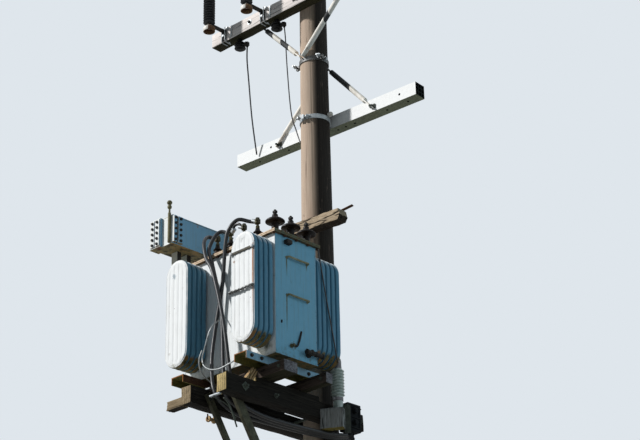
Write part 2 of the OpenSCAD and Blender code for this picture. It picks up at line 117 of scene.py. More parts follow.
def set_light():
    """A lamp from the left front, a broad soft one from the right and behind, and an even pale surround."""
    bpy.context.scene.view_settings.view_transform = "Standard"
    for way, strength, breadth, colour in LAMPS:
        lamp = bpy.data.objects.new("lamp", bpy.data.lights.new("lamp", "SUN"))
        lamp.data.energy = strength
        lamp.data.angle = math.radians(breadth)
        lamp.data.color = colour
        lamp.rotation_euler = Vector(way).to_track_quat("-Z", "Y").to_euler()
        bpy.context.scene.collection.objects.link(lamp)
    world = bpy.data.worlds.new("surround")
    bpy.context.scene.world = world
    world.use_nodes = True
    world.node_tree.nodes.clear()
    add = functools.partial(node, world.node_tree)
    fill = add("Background", {"Color": FILL_COLOUR, "Strength": FILL_STRENGTH})
    back = add("Background", {"Color": srgb(BACKDROP), "Strength": 1.0})
    add("OutputWorld", {"Surface": add("MixShader", {0: seen_by_eye(add), 1: fill, 2: back})})


# Kinds of finish. Their patterns lie in the piece's own space, in metres.


def finish_start(name):
    """A new finish, the call that adds a node to it, and the pattern space of the piece it is on."""
    finish = bpy.data.materials.new(name)
    finish.use_nodes = True
    finish.node_tree.nodes.clear()
    add = functools.partial(node, finish.node_tree)
    return finish, add, add("TexCoord", out="Object")


def finish_end(add, colour, rough, gloss, height, strength, depth, **more):
    """The shader under a finish, with a bump as deep as the given mm."""
    bump = add("Bump", {"Height": height, "Strength": strength, "Distance": depth / 1000})
    surface = {"Base Color": colour, "Roughness": rough, "Specular IOR Level": gloss, "Normal": bump}
    add("OutputMaterial", {"Surface": add("BsdfPrincipled", surface | more)})


def edge_mask(add, radius, low, share):
    """The given share along the arrises of a piece, and 0 on its flats."""
    soft, flat = add("Bevel", {"Radius": radius}, samples=4), add("NewGeometry", out="Normal")
    turn = add("VectorMath", {0: soft, 1: flat}, operation="DOT_PRODUCT")
    return add("MapRange", {"Value": turn, "From Min": 0.995, "From Max": low, "To Max": share})


def facing(add, way, low, high):
    """1 on faces that look along the given way, with a soft border."""
    turn = add("VectorMath", {0: add("NewGeometry", out="Normal"), 1: way}, operation="DOT_PRODUCT")
    return add("MapRange", {"Value": turn, "From Min": low, "From Max": high})


def wood(name, run, fibre, pale, mid, dark, stain, crack, rough, depth, cracks=0.018, shade_side=None):
    """Timber: fibres, broad stains, drying cracks that run along it, and one side painted in other colours,
    mostly as shade.

    The fibre's width and the grain's depth are in mm. The shade side is (shaded, deep, way it faces, low,
    high).
    """
    finish, add, place = finish_start(name)
    along = add("Mapping", {"Vector": place, "Scale": run})
    fibres = add("TexNoise", {"Vector": along, "Scale": 1000 / fibre, "Detail": 6, "Roughness": 0.65})
    colour = add("ValToRGB", {0: fibres}, stops=((0.25, dark), (0.5, mid), (0.72, pale)))
    broad = add("TexNoise", {"Vector": along, "Scale": 9, "Detail": 5, "Roughness": 0.6})
    cover = add("MapRange", {"Value": broad, "From Min": 0.42, "From Max": 0.68, "To Max": 0.7})
    colour = add("Mix", {0: cover, 6: colour, 7: srgb(stain)}, data_type="RGBA")
    colour = add("Mix", {0: edge_mask(add, 0.004, 0.8, 0.3), 6: colour, 7: srgb(pale)}, data_type="RGBA")
    if shade_side:
        # painted shade: the faces that look the given way take these colours
        shaded, deep, way, low, high = shade_side
        side_colour = add("ValToRGB", {0: fibres}, stops=((0.3, deep), (0.7, shaded)))
        colour = add("Mix", {0: facing(add, way, low, high), 6: colour, 7: side_colour}, data_type="RGBA")
    split = add("TexNoise", {"Vector": along, "Scale": 26, "Detail": 2.5, "Distortion": 0.2})
    split = add("Math", {0: split, 1: 0.5}, operation="SUBTRACT")
    split = add("Math", {0: split}, operation="ABSOLUTE")
    split = add("MapRange", {"Value": split, "From Min": cracks, "From Max": 0.2 * cracks})
    colour = add("Mix", {0: split, 6: colour, 7: srgb(crack)}, data_type="RGBA")
    height = add("Math", {0: fibres, 1: split}, operation="SUBTRACT")
    finish_end(add, colour, rough, 0.1, height, 0.7, depth)
    return finish


def sawn_end(name, pale, mid, dark, heart, ring):
    """End grain: growth rings a few mm wide round the heart, saw marks and a little dirt."""
    finish, add, place = finish_start(name)
    from_heart = add("Mapping", {"Vector": place, "Location": heart, "Scale": (1, 0.05, 1)})
    rings = add("TexWave", {"Vector": from_heart, "Scale": 1000 / ring / 6.3, "Distortion": 3, "Detail": 3},
                out="Fac", wave_type="RINGS", rings_direction="Y")
    grit = add("TexNoise", {"Vector": place, "Scale": 140, "Detail": 5})
    mixed = add("Math", {0: rings, 1: 0.3, 2: grit}, operation="MULTIPLY_ADD")
    blot = add("TexNoise", {"Vector": place, "Scale": 26, "Detail": 5, "Roughness": 0.7})
    mixed = add("Math", {0: mixed, 1: blot}, operation="MULTIPLY")
    colour = add("ValToRGB", {0: mixed}, stops=((0.2, dark), (0.3, mid), (0.48, pale)))
    finish_end(add, colour, 0.85, 0.5, mixed, 0.6, 2)
    return finish


def steel(name, pale, mid, dark, rust, spots, rough, metallic):
    """Bare, painted or zinc coated steel: cloudy patches, pits, and rust where the coat has gone."""
    finish, add, place = finish_start(name)
    cloud = add("TexNoise", {"Vector": place, "Scale": 14, "Detail": 6, "Roughness": 0.7})
    colour = add("ValToRGB", {0: cloud}, stops=((0.3, dark), (0.5, mid), (0.7, pale)))
    fine = add("TexNoise", {"Vector": place, "Scale": 90, "Detail": 5, "Roughness": 0.7})
    bare = add("Math", {0: fine, 1: edge_mask(add, 0.003, 0.75, 0.12)}, operation="ADD")
    bare = add("MapRange", {"Value": bare, "From Min": spots, "From Max": spots + 0.1})
    colour = add("Mix", {0: bare, 6: colour, 7: srgb(rust)}, data_type="RGBA")
    dull = add("MapRange", {"Value": bare, "To Min": rough, "To Max": 0.9})
    metal = add("MapRange", {"Value": bare, "To Min": metallic, "To Max": 0.0}) if metallic else 0.0
    finish_end(add, colour, dull, 0.5 if metallic > 0.15 else 0.2, fine, 0.5, 0.6, Metallic=metal)
    return finish


# fresh is the tint painted on faces away from the key lamp, as shade; bleached is the way toward the lamp,
# where the lit tint is painted
def enamel(name, fresh, lit_tint, grime, rust, under, foot, edge_rust, spots, runs=(), marks=(),
           bleached=(-0.5, -0.8, 0.55)):
    """Old outdoor enamel: pale on faces toward the key lamp and a stronger tint on faces away from it, as
    painted light and shade; streaked by rain, dirty below, rusting from edges.

    Under is the dirt on undersides, deep, middle and dry. The foot is (share of rust, low, high). A run is a
    thin streak down from a fitting: (axis, place, top, length, colour, way it faces). A mark is a patch:
    (centre, radius, colour, share).
    """
    finish, add, place = finish_start(name)
    cloud = add("TexNoise", {"Vector": place, "Scale": 7, "Detail": 6, "Roughness": 0.65})
    # painted light and shade: the lit tint toward the key lamp, the fresh tint away from it
    lit_share = add("VectorMath", {0: add("NewGeometry", out="Normal"), 1: bleached}, operation="DOT_PRODUCT")
    lit_share = add("Math", {0: cloud, 1: lit_share}, operation="ADD")
    lit_share = add("MapRange", {"Value": lit_share, "From Min": 0.55, "From Max": 1.0})
    colour = add("Mix", {0: lit_share, 6: srgb(fresh), 7: srgb(lit_tint)}, data_type="RGBA")
    # rain streaks about 12 mm wide
    fall = add("Mapping", {"Vector": place, "Scale": (1, 1, 0.06)})
    rain = add("TexNoise", {"Vector": fall, "Scale": 75, "Detail": 4, "Roughness": 0.6})
    rain = add("MapRange", {"Value": rain, "From Min": 0.5, "From Max": 0.8, "To Max": 0.3})
    colour = add("Mix", {0: rain, 6: colour, 7: srgb(grime)}, data_type="RGBA")
    # dirt that stays on the undersides
    patch = add("TexNoise", {"Vector": place, "Scale": 32, "Detail": 7, "Roughness": 0.7})
    below = add("Math", {0: facing(add, DOWN, 0.2, 0.7), 1: patch}, operation="MULTIPLY")
    below = add("MapRange", {"Value": below, "From Min": 0.12, "From Max": 0.3})
    dirt = add("TexNoise", {"Vector": place, "Scale": 19, "Detail": 6, "Roughness": 0.7})
    dirt = add("ValToRGB", {0: dirt}, stops=tuple(zip((0.38, 0.5, 0.62), under)))
    colour = add("Mix", {0: below, 6: colour, 7: dirt}, data_type="RGBA")
    # rust creeps up from the foot of the piece and in from its edges
    share, low, high = foot
    level = add("SeparateXYZ", {0: place}, out="Z")
    low_down = add("MapRange", {"Value": level, "From Min": high, "From Max": low, "To Max": share})
    edge = edge_mask(add, 0.005, 0.7, edge_rust)
    total = add("Math", {0: low_down, 1: edge}, operation="MAXIMUM")
    total = add("Math", {0: total, 1: patch}, operation="ADD")
    stain = add("MapRange", {"Value": total, "From Min": 0.62, "From Max": 0.82, "To Max": 0.75})
    colour = add("Mix", {0: stain, 6: colour, 7: srgb(grime)}, data_type="RGBA")
    eaten = add("MapRange", {"Value": total, "From Min": 0.76, "From Max": 0.86})
    shade = add("TexNoise", {"Vector": place, "Scale": 55, "Detail": 4})
    shade = add("ValToRGB", {0: shade}, stops=((0.35, "#2e1d14"), (0.55, rust), (0.7, "#a5683a")))
    colour = add("Mix", {0: eaten, 6: colour, 7: shade}, data_type="RGBA")
    # chips a few millimetres across
    chips = add("TexVoronoi", {"Vector": place, "Scale": 16})
    chips = add("MapRange", {"Value": chips, "From Min": spots, "From Max": 0.4 * spots})
    colour = add("Mix", {0: chips, 6: colour, 7: srgb("#6d4a35")}, data_type="RGBA")
    for axis, at, top, length, code, way in runs:
        aside = add("Math", {0: add("SeparateXYZ", {0: place}, out=axis), 1: at}, operation="SUBTRACT")
        aside = add("Math", {0: aside}, operation="ABSOLUTE")
        aside = add("MapRange", {"Value": aside, "From Min": 0.008, "From Max": 0.002})
        down = add("MapRange", {"Value": level, "From Min": top - length, "From Max": top - length / 3})
        over = add("Math", {0: level, 1: top}, operation="LESS_THAN")
        ragged = add("MapRange", {"Value": patch, "From Min": 0.32, "From Max": 0.44})
        for part in (over, facing(add, way, 0.5, 0.8), ragged, aside):
            down = add("Math", {0: down, 1: part}, operation="MULTIPLY")
        colour = add("Mix", {0: down, 6: colour, 7: srgb(code)}, data_type="RGBA")
    for centre, radius, code, share in marks:
        away = add("VectorMath", {0: place, 1: centre}, operation="DISTANCE")
        ragged = patch if radius < 0.05 else cloud
        away = add("Math", {0: ragged, 1: 5 * radius, 2: away}, operation="MULTIPLY_ADD")
        cover = add("MapRange", {"Value": away, "From Min": 3.4 * radius, "From Max": 2.5 * radius,
                                 "To Max": share})
        colour = add("Mix", {0: cover, 6: colour, 7: srgb(code)}, data_type="RGBA")
    dull = add("MapRange", {"Value": total, "From Min": 0.4, "From Max": 0.8,
                            "To Min": 0.42, "To Max": 0.85})
    peel = add("Math", {0: patch, 1: eaten}, operation="SUBTRACT")
    finish_end(add, colour, dull, 0.2, peel, 0.35, 1.2)
    return finish


def smooth(name, pale, mid, dark, rough, coat, scale, depth, dust="#8f8a80", dusty=0.2, gloss=0.5):
    """Glazed, moulded or extruded surface: a faint mottle, and dust on what faces up."""
    finish, add, place = finish_start(name)
    mottle = add("TexNoise", {"Vector": place, "Scale": scale, "Detail": 5, "Roughness": 0.6})
    colour = add("ValToRGB", {0: mottle}, stops=((0.3, dark), (0.5, mid), (0.72, pale)))
    up = add("SeparateXYZ", {0: add("NewGeometry", out="Normal")}, out="Z")
    up = add("Math", {0: up, 1: mottle}, operation="MULTIPLY")
    up = add("MapRange", {"Value": up, "From Min": 0.15, "From Max": 0.6, "To Max": dusty})
    colour = add("Mix", {0: up, 6: colour, 7: srgb(dust)}, data_type="RGBA")
    dull = add("MapRange", {"Value": mottle, "From Min": 0.3, "From Max": 0.7, "To Min": rough,
                            "To Max": min(rough + 0.2, 1)})
    finish_end(add, colour, dull, gloss, mottle, 0.3, depth, **{"Coat Weight": coat})
    return finish


# Making and shaping. Lengths here and below are in mm, and places too.


def quiet():
    """Back to object mode with nothing selected."""
    if bpy.context.mode != "OBJECT":
        bpy.ops.object.mode_set(mode="OBJECT")
    bpy.ops.object.select_all(action="DESELECT")


def active(piece):
    """Back to object mode with only this piece selected."""
    quiet()
    piece.select_set(True)
    bpy.context.view_layer.objects.active = piece


def named(name):
    """The primitive just added, under its own name and with its place in its mesh."""
    piece = bpy.context.object
    piece.name = piece.data.name = name
    bpy.ops.object.transform_apply(location=True, rotation=True, scale=True)
    return piece


def edit(piece, test=None):
    """Edit mode with the faces selected whose centre and normal pass the test, or with all of them."""
    active(piece)
    bpy.ops.object.mode_set(mode="EDIT")
    bpy.ops.mesh.select_mode(type="FACE")
    bpy.ops.mesh.select_all(action="SELECT" if test is None else "DESELECT")
    if test is not None:
        shape = bmesh.from_edit_mesh(piece.data)
        for face in shape.faces:
            face.select_set(bool(test(face.calc_center_median() * 1000, face.normal)))
        bmesh.update_edit_mesh(piece.data)


def apply(piece, kind, **settings):
    """Puts one modifier on a piece and applies it."""
    active(piece)
    change = piece.modifiers.new(kind.lower(), kind)
    for key, value in settings.items():
        setattr(change, key, value)
    bpy.ops.object.modifier_apply(modifier=change.name)


def smooth_shade(piece, angle=35):
    """Smooth shading, with edges over the given angle left crisp."""
    active(piece)
    bpy.ops.object.shade_smooth_by_angle(angle=math.radians(angle))


def finish_faces(piece, finishes, pick):
    """Several finishes on one piece: each face takes the one whose number pick(face) gives."""
    for finish in finishes:
        piece.data.materials.append(finish)
    for face in piece.data.polygons:
        face.material_index = int(pick(face))
    return piece


def block(name, low, high, edge=1.5, segments=2):
    """A squared piece between two corners, with its arrises eased."""
    quiet()
    low, high = Vector(low) / 1000, Vector(high) / 1000
    bpy.ops.mesh.primitive_cube_add(size=1, location=(low + high) / 2, scale=high - low)
    piece = named(name)
    edit(piece)
    bpy.ops.mesh.bevel(offset=edge / 1000, segments=segments, affect="EDGES")
    quiet()
    return piece


def cut_up(piece, axis, step):
    """Cuts a piece across at even steps, so that it can be bent or worn there."""
    low = min(v.co[axis] for v in piece.data.vertices)
    high = max(v.co[axis] for v in piece.data.vertices)
    count = max(int((high - low) * 1000 / step), 1)
    way = [int(i == axis) for i in range(3)]
    edit(piece)
    for i in range(1, count):
        at = [0, 0, 0]
        at[axis] = low + (high - low) * i / count
        bpy.ops.mesh.select_all(action="SELECT")
        bpy.ops.mesh.bisect(plane_co=at, plane_no=way)
    quiet()


def wear(piece, amount, size, seed):
    """Moves each point a little, by a smooth noise of the given size that is the same on every run."""
    noise.seed_set(1)
    for point in piece.data.vertices:
        point.co += noise.noise_vector(point.co * (1000 / size) + Vector((seed, 0, 0))) * (amount / 1000)


def timber(name, low, high, grain, end, edge, wave, seed, steps=(45, 45)):
    """Sawn timber: eased arrises, faces a little out of true, and end grain on its two ends."""
    piece = block(name, low, high, edge, 2)
    size = [b - a for a, b in zip(low, high)]
    long_way = size.index(max(size))
    for axis in range(3):
        cut_up(piece, axis, steps[0] if axis == long_way else steps[1])
    wear(piece, wave, 90, seed)
    finish_faces(piece, (grain, end), lambda face: abs(face.normal[long_way]) > 0.8)
    smooth_shade(piece, 40)
    return piece


def turned(name, rings, centre=(0, 0, 0), steps=32):
    """A turned piece on an upright axis: a circle pulled up ring by ring, rings as (radius, height)."""
    quiet()
    x, y, z = (v / 1000 for v in centre)
    (r0, z0), rest = rings[0], rings[1:]
    bpy.ops.mesh.primitive_circle_add(vertices=steps, radius=r0 / 1000, location=(x, y, z + z0 / 1000))
    piece = named(name)
    active(piece)
    bpy.ops.object.mode_set(mode="EDIT")
    bpy.ops.mesh.select_mode(type="EDGE")
    bpy.ops.mesh.select_all(action="SELECT")
    for r, h in rest:
        bpy.ops.mesh.extrude_region_move(TRANSFORM_OT_translate={"value": (0, 0, (h - z0) / 1000)})
        bpy.ops.transform.resize(value=(r / r0, r / r0, 1), center_override=(x, y, 0))
        r0, z0 = r, h
    bpy.ops.mesh.select_all(action="SELECT")
    bpy.ops.mesh.fill_holes(sides=0)
    bpy.ops.mesh.select_all(action="SELECT")
    bpy.ops.mesh.normals_make_consistent(inside=False)
    quiet()
    smooth_shade(piece, 40)
    return piece


def curved(points, steps):
    """A smooth run through the points, in metres."""
    points = [Vector(p) / 1000 for p in points]
    run = []
    for i in range(len(points) - 1):
        a, b = points[max(i - 1, 0)], points[i]
        c, d = points[i + 1], points[min(i + 2, len(points) - 1)]
        for k in range(steps):
            t = k / steps
            run.append(0.5 * (2 * b + (c - a) * t + (2 * a - 5 * b + 4 * c - d) * t * t
                              + (3 * b - a - 3 * c + d) * t ** 3))
    return run + [points[-1]]


def tube(name, points, across, steps=8, sides=3):
    """A round rod, pipe or cable of one thickness through the given points, straight where steps is 0."""
    quiet()
    line = bpy.data.curves.new(name, "CURVE")
    line.dimensions = "3D"
    line.bevel_depth = across / 2000
    line.bevel_resolution = sides
    line.use_fill_caps = True
    run = curved(points, steps) if steps else [Vector(p) / 1000 for p in points]
    spline = line.splines.new("POLY")
    spline.points.add(len(run) - 1)
    for point, co in zip(spline.points, run):
        point.co = (*co, 1)
    piece = bpy.data.objects.new(name, line)
    bpy.context.scene.collection.objects.link(piece)
    active(piece)
    bpy.ops.object.convert(target="MESH")
    piece = bpy.context.object
    smooth_shade(piece, 60)
    return piece


def joined(name, parts):
    """Several shapes made one piece."""
    quiet()
    for part in parts:
        part.select_set(True)
    bpy.context.view_layer.objects.active = parts[0]
    if len(parts) > 1:
        bpy.ops.object.join()
    piece = bpy.context.object
    piece.name = piece.data.name = name
    return piece


def placing(at, way, turn=0):
    """The move from the origin to a place, with +Z along the given way, after a turn in degrees about it."""
    aim = Vector((0, 0, 1)).rotation_difference(Vector(way)).to_matrix().to_4x4()
    return Matrix.Translation(Vector(at) / 1000) @ aim @ Matrix.Rotation(math.radians(turn), 4, "Z")


def laid(piece, at, way, turn=0):
    """Carries a piece that was made at the origin to its place."""
    piece.data.transform(placing(at, way, turn))
    return piece


def copies(model, places, last=False):
    """The model set down at each place: (point, the way its +Z points, turn in degrees)."""
    made = []
    for place in places:
        copy = bpy.data.objects.new(model.name, model.data.copy())
        bpy.context.scene.collection.objects.link(copy)
        made.append(laid(copy, *place))
    if last:
        bpy.data.objects.remove(model)
    return made


def dressed(node_name, name, width, segments=2):
    """A copy of a CAD node's solids made whole, with its sharp edges eased."""
    piece = bpy.data.objects.new(name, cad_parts[node_name].data.copy())
    bpy.context.scene.collection.objects.link(piece)
    piece.data.materials.clear()
    joined(name, [piece])
    edit(piece)
    bpy.ops.mesh.remove_doubles(threshold=0.00003)
    bpy.ops.mesh.dissolve_limited(angle_limit=math.radians(0.6))
    quiet()
    apply(piece, "BEVEL", width=width / 1000, segments=segments, limit_method="ANGLE",
          angle_limit=math.radians(38), use_clamp_overlap=True)
    smooth_shade(piece, 38)
    apply(piece, "WEIGHTED_NORMAL", keep_sharp=True)
    return piece


def done(piece, finish, slot, *nodes):
    """Gives a piece its finish and the body it rides on, and hides the CAD nodes it stands for. Its slot is
    not used.
    """
    if not piece.data.materials:
        piece.data.materials.append(finish)
    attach(piece, "root")
    if nodes:
        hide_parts(*nodes)


def bolt(name, across, head, washer, thick, square=False, stud=0):
    """A hexagon head on its washer, standing on +Z at the origin, with a stud end if it has one."""
    quiet()
    bpy.ops.mesh.primitive_cylinder_add(
        vertices=4 if square else 24, radius=washer / 2000 * (1.41 if square else 1), depth=thick / 1000,
        location=(0, 0, thick / 2000))
    plate = named(name)
    apply(plate, "BEVEL", width=thick / 5000, segments=1, limit_method="ANGLE")
    bpy.ops.mesh.primitive_cylinder_add(vertices=6, radius=across / 1732, depth=head / 1000,
                                        location=(0, 0, (thick + head / 2) / 1000))
    top = named(name)
    edit(top, lambda c, n: n.z > 0.9)
    bpy.ops.mesh.bevel(offset=head / 6000, segments=2, affect="EDGES")
    parts = [plate, top]
    quiet()
    if stud:
        bpy.ops.mesh.primitive_cylinder_add(vertices=16, radius=across / 3400, depth=stud / 1000,
                                            location=(0, 0, (thick + head + stud / 2) / 1000))
        end = named(name)
        apply(end, "BEVEL", width=0.0012, segments=1, limit_method="ANGLE", angle_limit=1)
        parts.append(end)
    piece = joined(name, parts)
    smooth_shade(piece, 30)
    return piece


# The finishes of this pole and transformer

# pine pole, its oil bleached to a pinkish beige by the sun, and its side away from the key lamp painted dark
# as shade
POLE_WOOD = wood("oiled_pine_pole", (1, 1, 0.02), 4, "#d3c0ab", "#c0aa96", "#a5907f", "#b7a18e", "#75645a",
                 0.8, 0.8, 0.004, ("#3f3934", "#231f1c", (0.8, 0.6, 0), -0.2, 0.3))
# hardwood crossarm, silvered cream by the sun, its underside painted dark olive as shade
ARM_WOOD = wood("silvered_hardwood", (0.03, 1, 1), 5, "#fff9f4", "#faf0ea", "#dccfc5", "#f2e5dc", "#4a443c",
                0.85, 1.6, 0.012, ("#46422e", "#28261b", DOWN, 0.3, 0.7))
# platform timbers under creosote: nearly black, dry and fibrous
BEAM_WOOD = wood("creosoted_timber_y", (1, 0.04, 1), 6, "#3d3832", "#221f1b", "#12100e", "#1b1916",
                 "#090808", 0.84, 2.2)
# the cross timbers' undersides are painted dark olive as shade
CROSS_WOOD = wood("creosoted_timber_x", (0.04, 1, 1), 6, "#74665c", "#52463e", "#2e2722", "#3f3631",
                  "#100e0c", 0.84, 2.2, 0.018, ("#454233", "#27251c", DOWN, 0.3, 0.7))
# bleached softwood, brown where the sun has split it, its underside and right side painted dark as shade
GREY_WOOD = wood("bleached_softwood", (0.05, 1, 1), 5, "#dcc9ac", "#b5a187", "#63553f", "#8f7d6b", "#251f1a",
                 0.86, 3.0, 0.035, ("#4a4036", "#2a241f", (0.6, 0, -0.8), 0.3, 0.8))
# the packing block, its underside painted olive gold as shade lit from the ground
GREY_BLOCK = wood("bleached_block", (1, 1, 0.06), 6, "#b3b3ae", "#91908d", "#575552", "#88847b", "#2a2724",
                  0.86, 2.4, 0.02, ("#9b8a4c", "#62562c", DOWN, 0.4, 0.8))
# freshly split softwood, pale and stringy
SPLIT_WOOD = wood("split_softwood", (1, 1, 0.05), 4, "#dbbf98", "#c09f72", "#876a48", "#a98c62", "#3d2d1e",
                  0.75, 1.5)
# outer side of a ragged batten, pale grey brown, its underside painted dark as shade
SPLIT_GREY = wood("ragged_batten", (0.05, 1, 1), 5, "#b09d80", "#8d7b61", "#544838", "#6f6049", "#241e18",
                  0.85, 2.0, 0.018, ("#322c24", "#1b1814", DOWN, 0.3, 0.7))
# sawn ends, tan where the tar has not soaked in, and browner on the older of the two beams
BEAM_END = sawn_end("sawn_beam_end", "#c4ad78", "#a8925c", "#6f5d3a", (0.16, 0, -5.41), 9)
OLD_BEAM_END = sawn_end("old_sawn_beam_end", "#a08c70", "#83704f", "#54462f", (-0.16, 0, -5.41), 9)
CROSS_END = sawn_end("sawn_timber_end", "#8e8c8c", "#77757a", "#454245", (0, 0, -5.54), 8)
ARM_END = sawn_end("sawn_arm_end", "#c4bbae", "#a1978a", "#6b6359", (0, 0.15, -8.64), 7)
POLE_TOP = sawn_end("cut_pole_top", "#a8937f", "#87725f", "#5b4b3f", (0, 0, 0), 6)

# hot dip zinc gone dull
ZINC = steel("dull_zinc_coat", "#c6cacb", "#a9aeb0", "#868b8d", "#8a6a4e", 0.76, 0.45, 0.3)
# pale painted brace tube, matt and a little pink
BRACE_PAINT = steel("pale_painted_tube", "#fffaf2", "#f7f1e6", "#d6cec0", "#8d6f55", 0.74, 0.6, 0.0)
# steel fittings under old black paint
BLACK_STEEL = steel("old_black_steel", "#363330", "#262422", "#191716", "#46362a", 0.67, 0.7, 0.0)
# dark grey stretches of the brace tubes: painted cast shadows of the pole, the arm and the bells, and a dark
# joint on the right upper tube
SHADOW_AND_JOINT_GREY = steel("shadow_and_joint_tube", "#4a4b4b", "#3a3a3a", "#282726", "#4b4038", 0.66, 0.7, 0.0)
# bare steel that has rusted brown all over
RUSTY_STEEL = steel("rusted_steel", "#6e4f3c", "#523929", "#35241b", "#7a4f30", 0.6, 0.85, 0.0)
# square washers and bolts of the platform, dark grey green
WASHER_STEEL = steel("grey_green_washer", "#646a60", "#484d45", "#2e312c", "#4f3d2d", 0.68, 0.7, 0.15)
# angle braces, galvanised long ago and now dark olive
OLIVE_STEEL = steel("dark_olive_angle", "#66634f", "#4a4838", "#302f25", "#5d4630", 0.64, 0.65, 0.1)
# drawn wire
WIRE = steel("drawn_wire", "#c0c2c0", "#9da09f", "#7c7f7e", "#8d7a60", 0.8, 0.42, 0.4)
# strap over the radiator panels, dark olive brown
STRAP_STEEL = steel("dark_flat_strap", "#55503f", "#3e3a2d", "#28251d", "#5b442e", 0.66, 0.6, 0.1)
# chain with some of its zinc left
CHAIN_STEEL = steel("half_galvanised_chain", "#8d8f8e", "#5a5a58", "#312f2d", "#5c4432", 0.6, 0.5, 0.3)
# handles with old olive paint
HANDLE_STEEL = steel("painted_handle_rod", "#b5b094", "#8f8a6c", "#5b5842", "#5f4630", 0.62, 0.6, 0.0)
# cast cap of the small arrester, grey with purple brown spots
CAP_METAL = steel("cast_arrester_cap", "#8f8d8b", "#716e6f", "#524d50", "#4d3a3b", 0.58, 0.55, 0.2)
# bronze terminal clamps with a dull green bloom
BRONZE = steel("weathered_bronze", "#605a38", "#403c25", "#252217", "#4a5540", 0.64, 0.55, 0.15)
# corner pipe under olive paint
OLIVE_PAINT = steel("olive_painted_pipe", "#8d8868", "#6b6649", "#454131", "#7c5433", 0.62, 0.6, 0.0)
# inside and under the skid channels: olive brown, rust stain and painted shade; and their rusted front edge
SKID_INSIDE = steel("stained_shaded_channel_inside", "#968748", "#6d6838", "#403d22", "#6b4a2a", 0.6, 0.75, 0.0)
SKID_EDGE = steel("rusted_channel_edge", "#b57c48", "#96602f", "#5d3a20", "#c4bba5", 0.64, 0.8, 0.0)

# tank, lid, radiators, box and skids: blue grey enamel, painted pale where the key lamp strikes it and a
# stronger tint on the sides away from it, as painted light and shade
OLIVE_DIRT, TAN_DIRT = ("#2f2b1d", "#6b613a", "#8a5f34"), ("#3d3722", "#8a7d57", "#a98a5a")
DULL_OLIVE = "#5d5b3a"
X_AXIS, Y_AXIS = 0, 1
TANK_PAINT = enamel(
    "tank_enamel", "#80bad4", "#eceeed", "#75745c", "#6f452b", OLIVE_DIRT, (0.16, 5.63, 5.72), 0.16, 0.03,
    runs=[(Y_AXIS, y, top, length, DULL_OLIVE, RIGHT)
          for y, top, length in ((-0.655, 6.318, 0.14), (-0.657, 6.053, 0.26), (-0.472, 6.318, 0.05))],
    marks=(((0.352, -0.60, 5.72), 0.035, "#5c5336", 0.85), ((0.352, -0.46, 5.70), 0.04, "#4f4a36", 0.7),
           # the three marks on the front wall, behind and under the right front radiator, are painted shade
           ((0.275, -0.76, 5.70), 0.055, "#5a6050", 0.9), ((0.22, -0.76, 5.66), 0.05, "#55573f", 0.9),
           ((0.285, -0.76, 5.78), 0.05, "#6d7a6c", 0.8)))
LID_PAINT = enamel("lid_enamel", "#5a5f4c", "#dcc3a6", "#8a6a48", "#99602f",
                   ("#26231a", "#4f4a35", "#6f5233"), (0.27, 6.3, 6.6), 0.2, 0.05)
# the inner panels: a darker blue than the tank, pale only on their tops, as painted shade in the gaps
# between the panels
PANEL_PAINT = enamel("radiator_enamel", "#5a8ea8", "#f2f3f2", "#5f6450", "#7d4a2a", OLIVE_DIRT,
                     (0.2, 5.68, 5.78), 0.04, 0.03, bleached=(-0.25, 0.1, 0.95))
# the outer panels, with a rust streak down one rim and a few scrapes
FRONT_PAINT = enamel(
    "weathered_radiator_enamel", "#5a8ea8", "#f2f3f2", "#a3a08a", "#7d4a2a", OLIVE_DIRT, (0.2, 5.68, 5.78),
    0.05, 0.07, runs=((X_AXIS, 0.338, 6.34, 0.60, "#b06c36", FRONT),),
    marks=(((-0.42, -0.944, 6.34), 0.022, "#7f929d", 0.8), ((0.24, -0.944, 6.40), 0.02, "#a3a7a2", 0.7),
           ((0.165, -0.944, 6.26), 0.010, "#8f6540", 0.8), ((-0.46, -0.944, 5.80), 0.014, "#8f8a74", 0.7),
           ((0.34, -0.95, 6.30), 0.014, "#5d4a33", 0.6)))
BOX_PAINT = enamel(
    "box_enamel", "#80b4d4", "#edefec", "#80785c", "#7f4f2e", TAN_DIRT, (0.12, 6.655, 6.69), 0.16, 0.04,
    marks=(((-0.69, -0.85, 6.665), 0.03, "#5f3119", 1.0), ((-0.575, -0.83, 6.668), 0.022, "#7a431f", 1.0),
           ((-0.60, -0.72, 6.665), 0.04, "#2a241a", 0.9), ((-0.56, -0.62, 6.877), 0.022, "#8f6136", 1.0)))
SKID_PAINT = enamel("skid_enamel", "#90b6cb", "#d9d6c8", "#6d6443", "#85522b", OLIVE_DIRT,
                    (0.14, 5.57, 5.62), 0.2, 0.05)

# pultruded glass fibre: white, a faint lengthwise fibre, chalky; its underside is painted olive grey and its
# cut ends and cells nearly black, as shade
COMPOSITE = smooth("pultruded_glass_fibre", "#fafaf8", "#f4f4f2", "#e6e8e5", 0.5, 0.0, 60, 0.2, "#c2c0b8")
DULL_COMPOSITE = smooth("shaded_glass_fibre_underside", "#9a9c80", "#83866c", "#666957", 0.7, 0.0, 45, 0.3)
CUT_COMPOSITE = smooth("cut_glass_fibre_end", "#2c322f", "#212725", "#171b1a", 0.8, 0.0, 50, 0.3, gloss=0.1)
# the white side of the arrester cups
CUP_WHITE = smooth("moulded_white_cup", "#f2efe8", "#e6e1d8", "#c9bfb0", 0.45, 0.1, 50, 0.3)
# its inside, underside and right side painted brown: rust washed from the bracket, and painted shade
CUP_BROWN = smooth("rust_stained_shaded_cup", "#8f7340", "#6b4a30", "#40291d", 0.7, 0.0, 60, 0.3)
# wet process porcelain: grey green under a clear glaze
PORCELAIN = smooth("grey_green_porcelain", "#c2cbc2", "#aeb8af", "#8b968f", 0.28, 0.4, 40, 0.2)
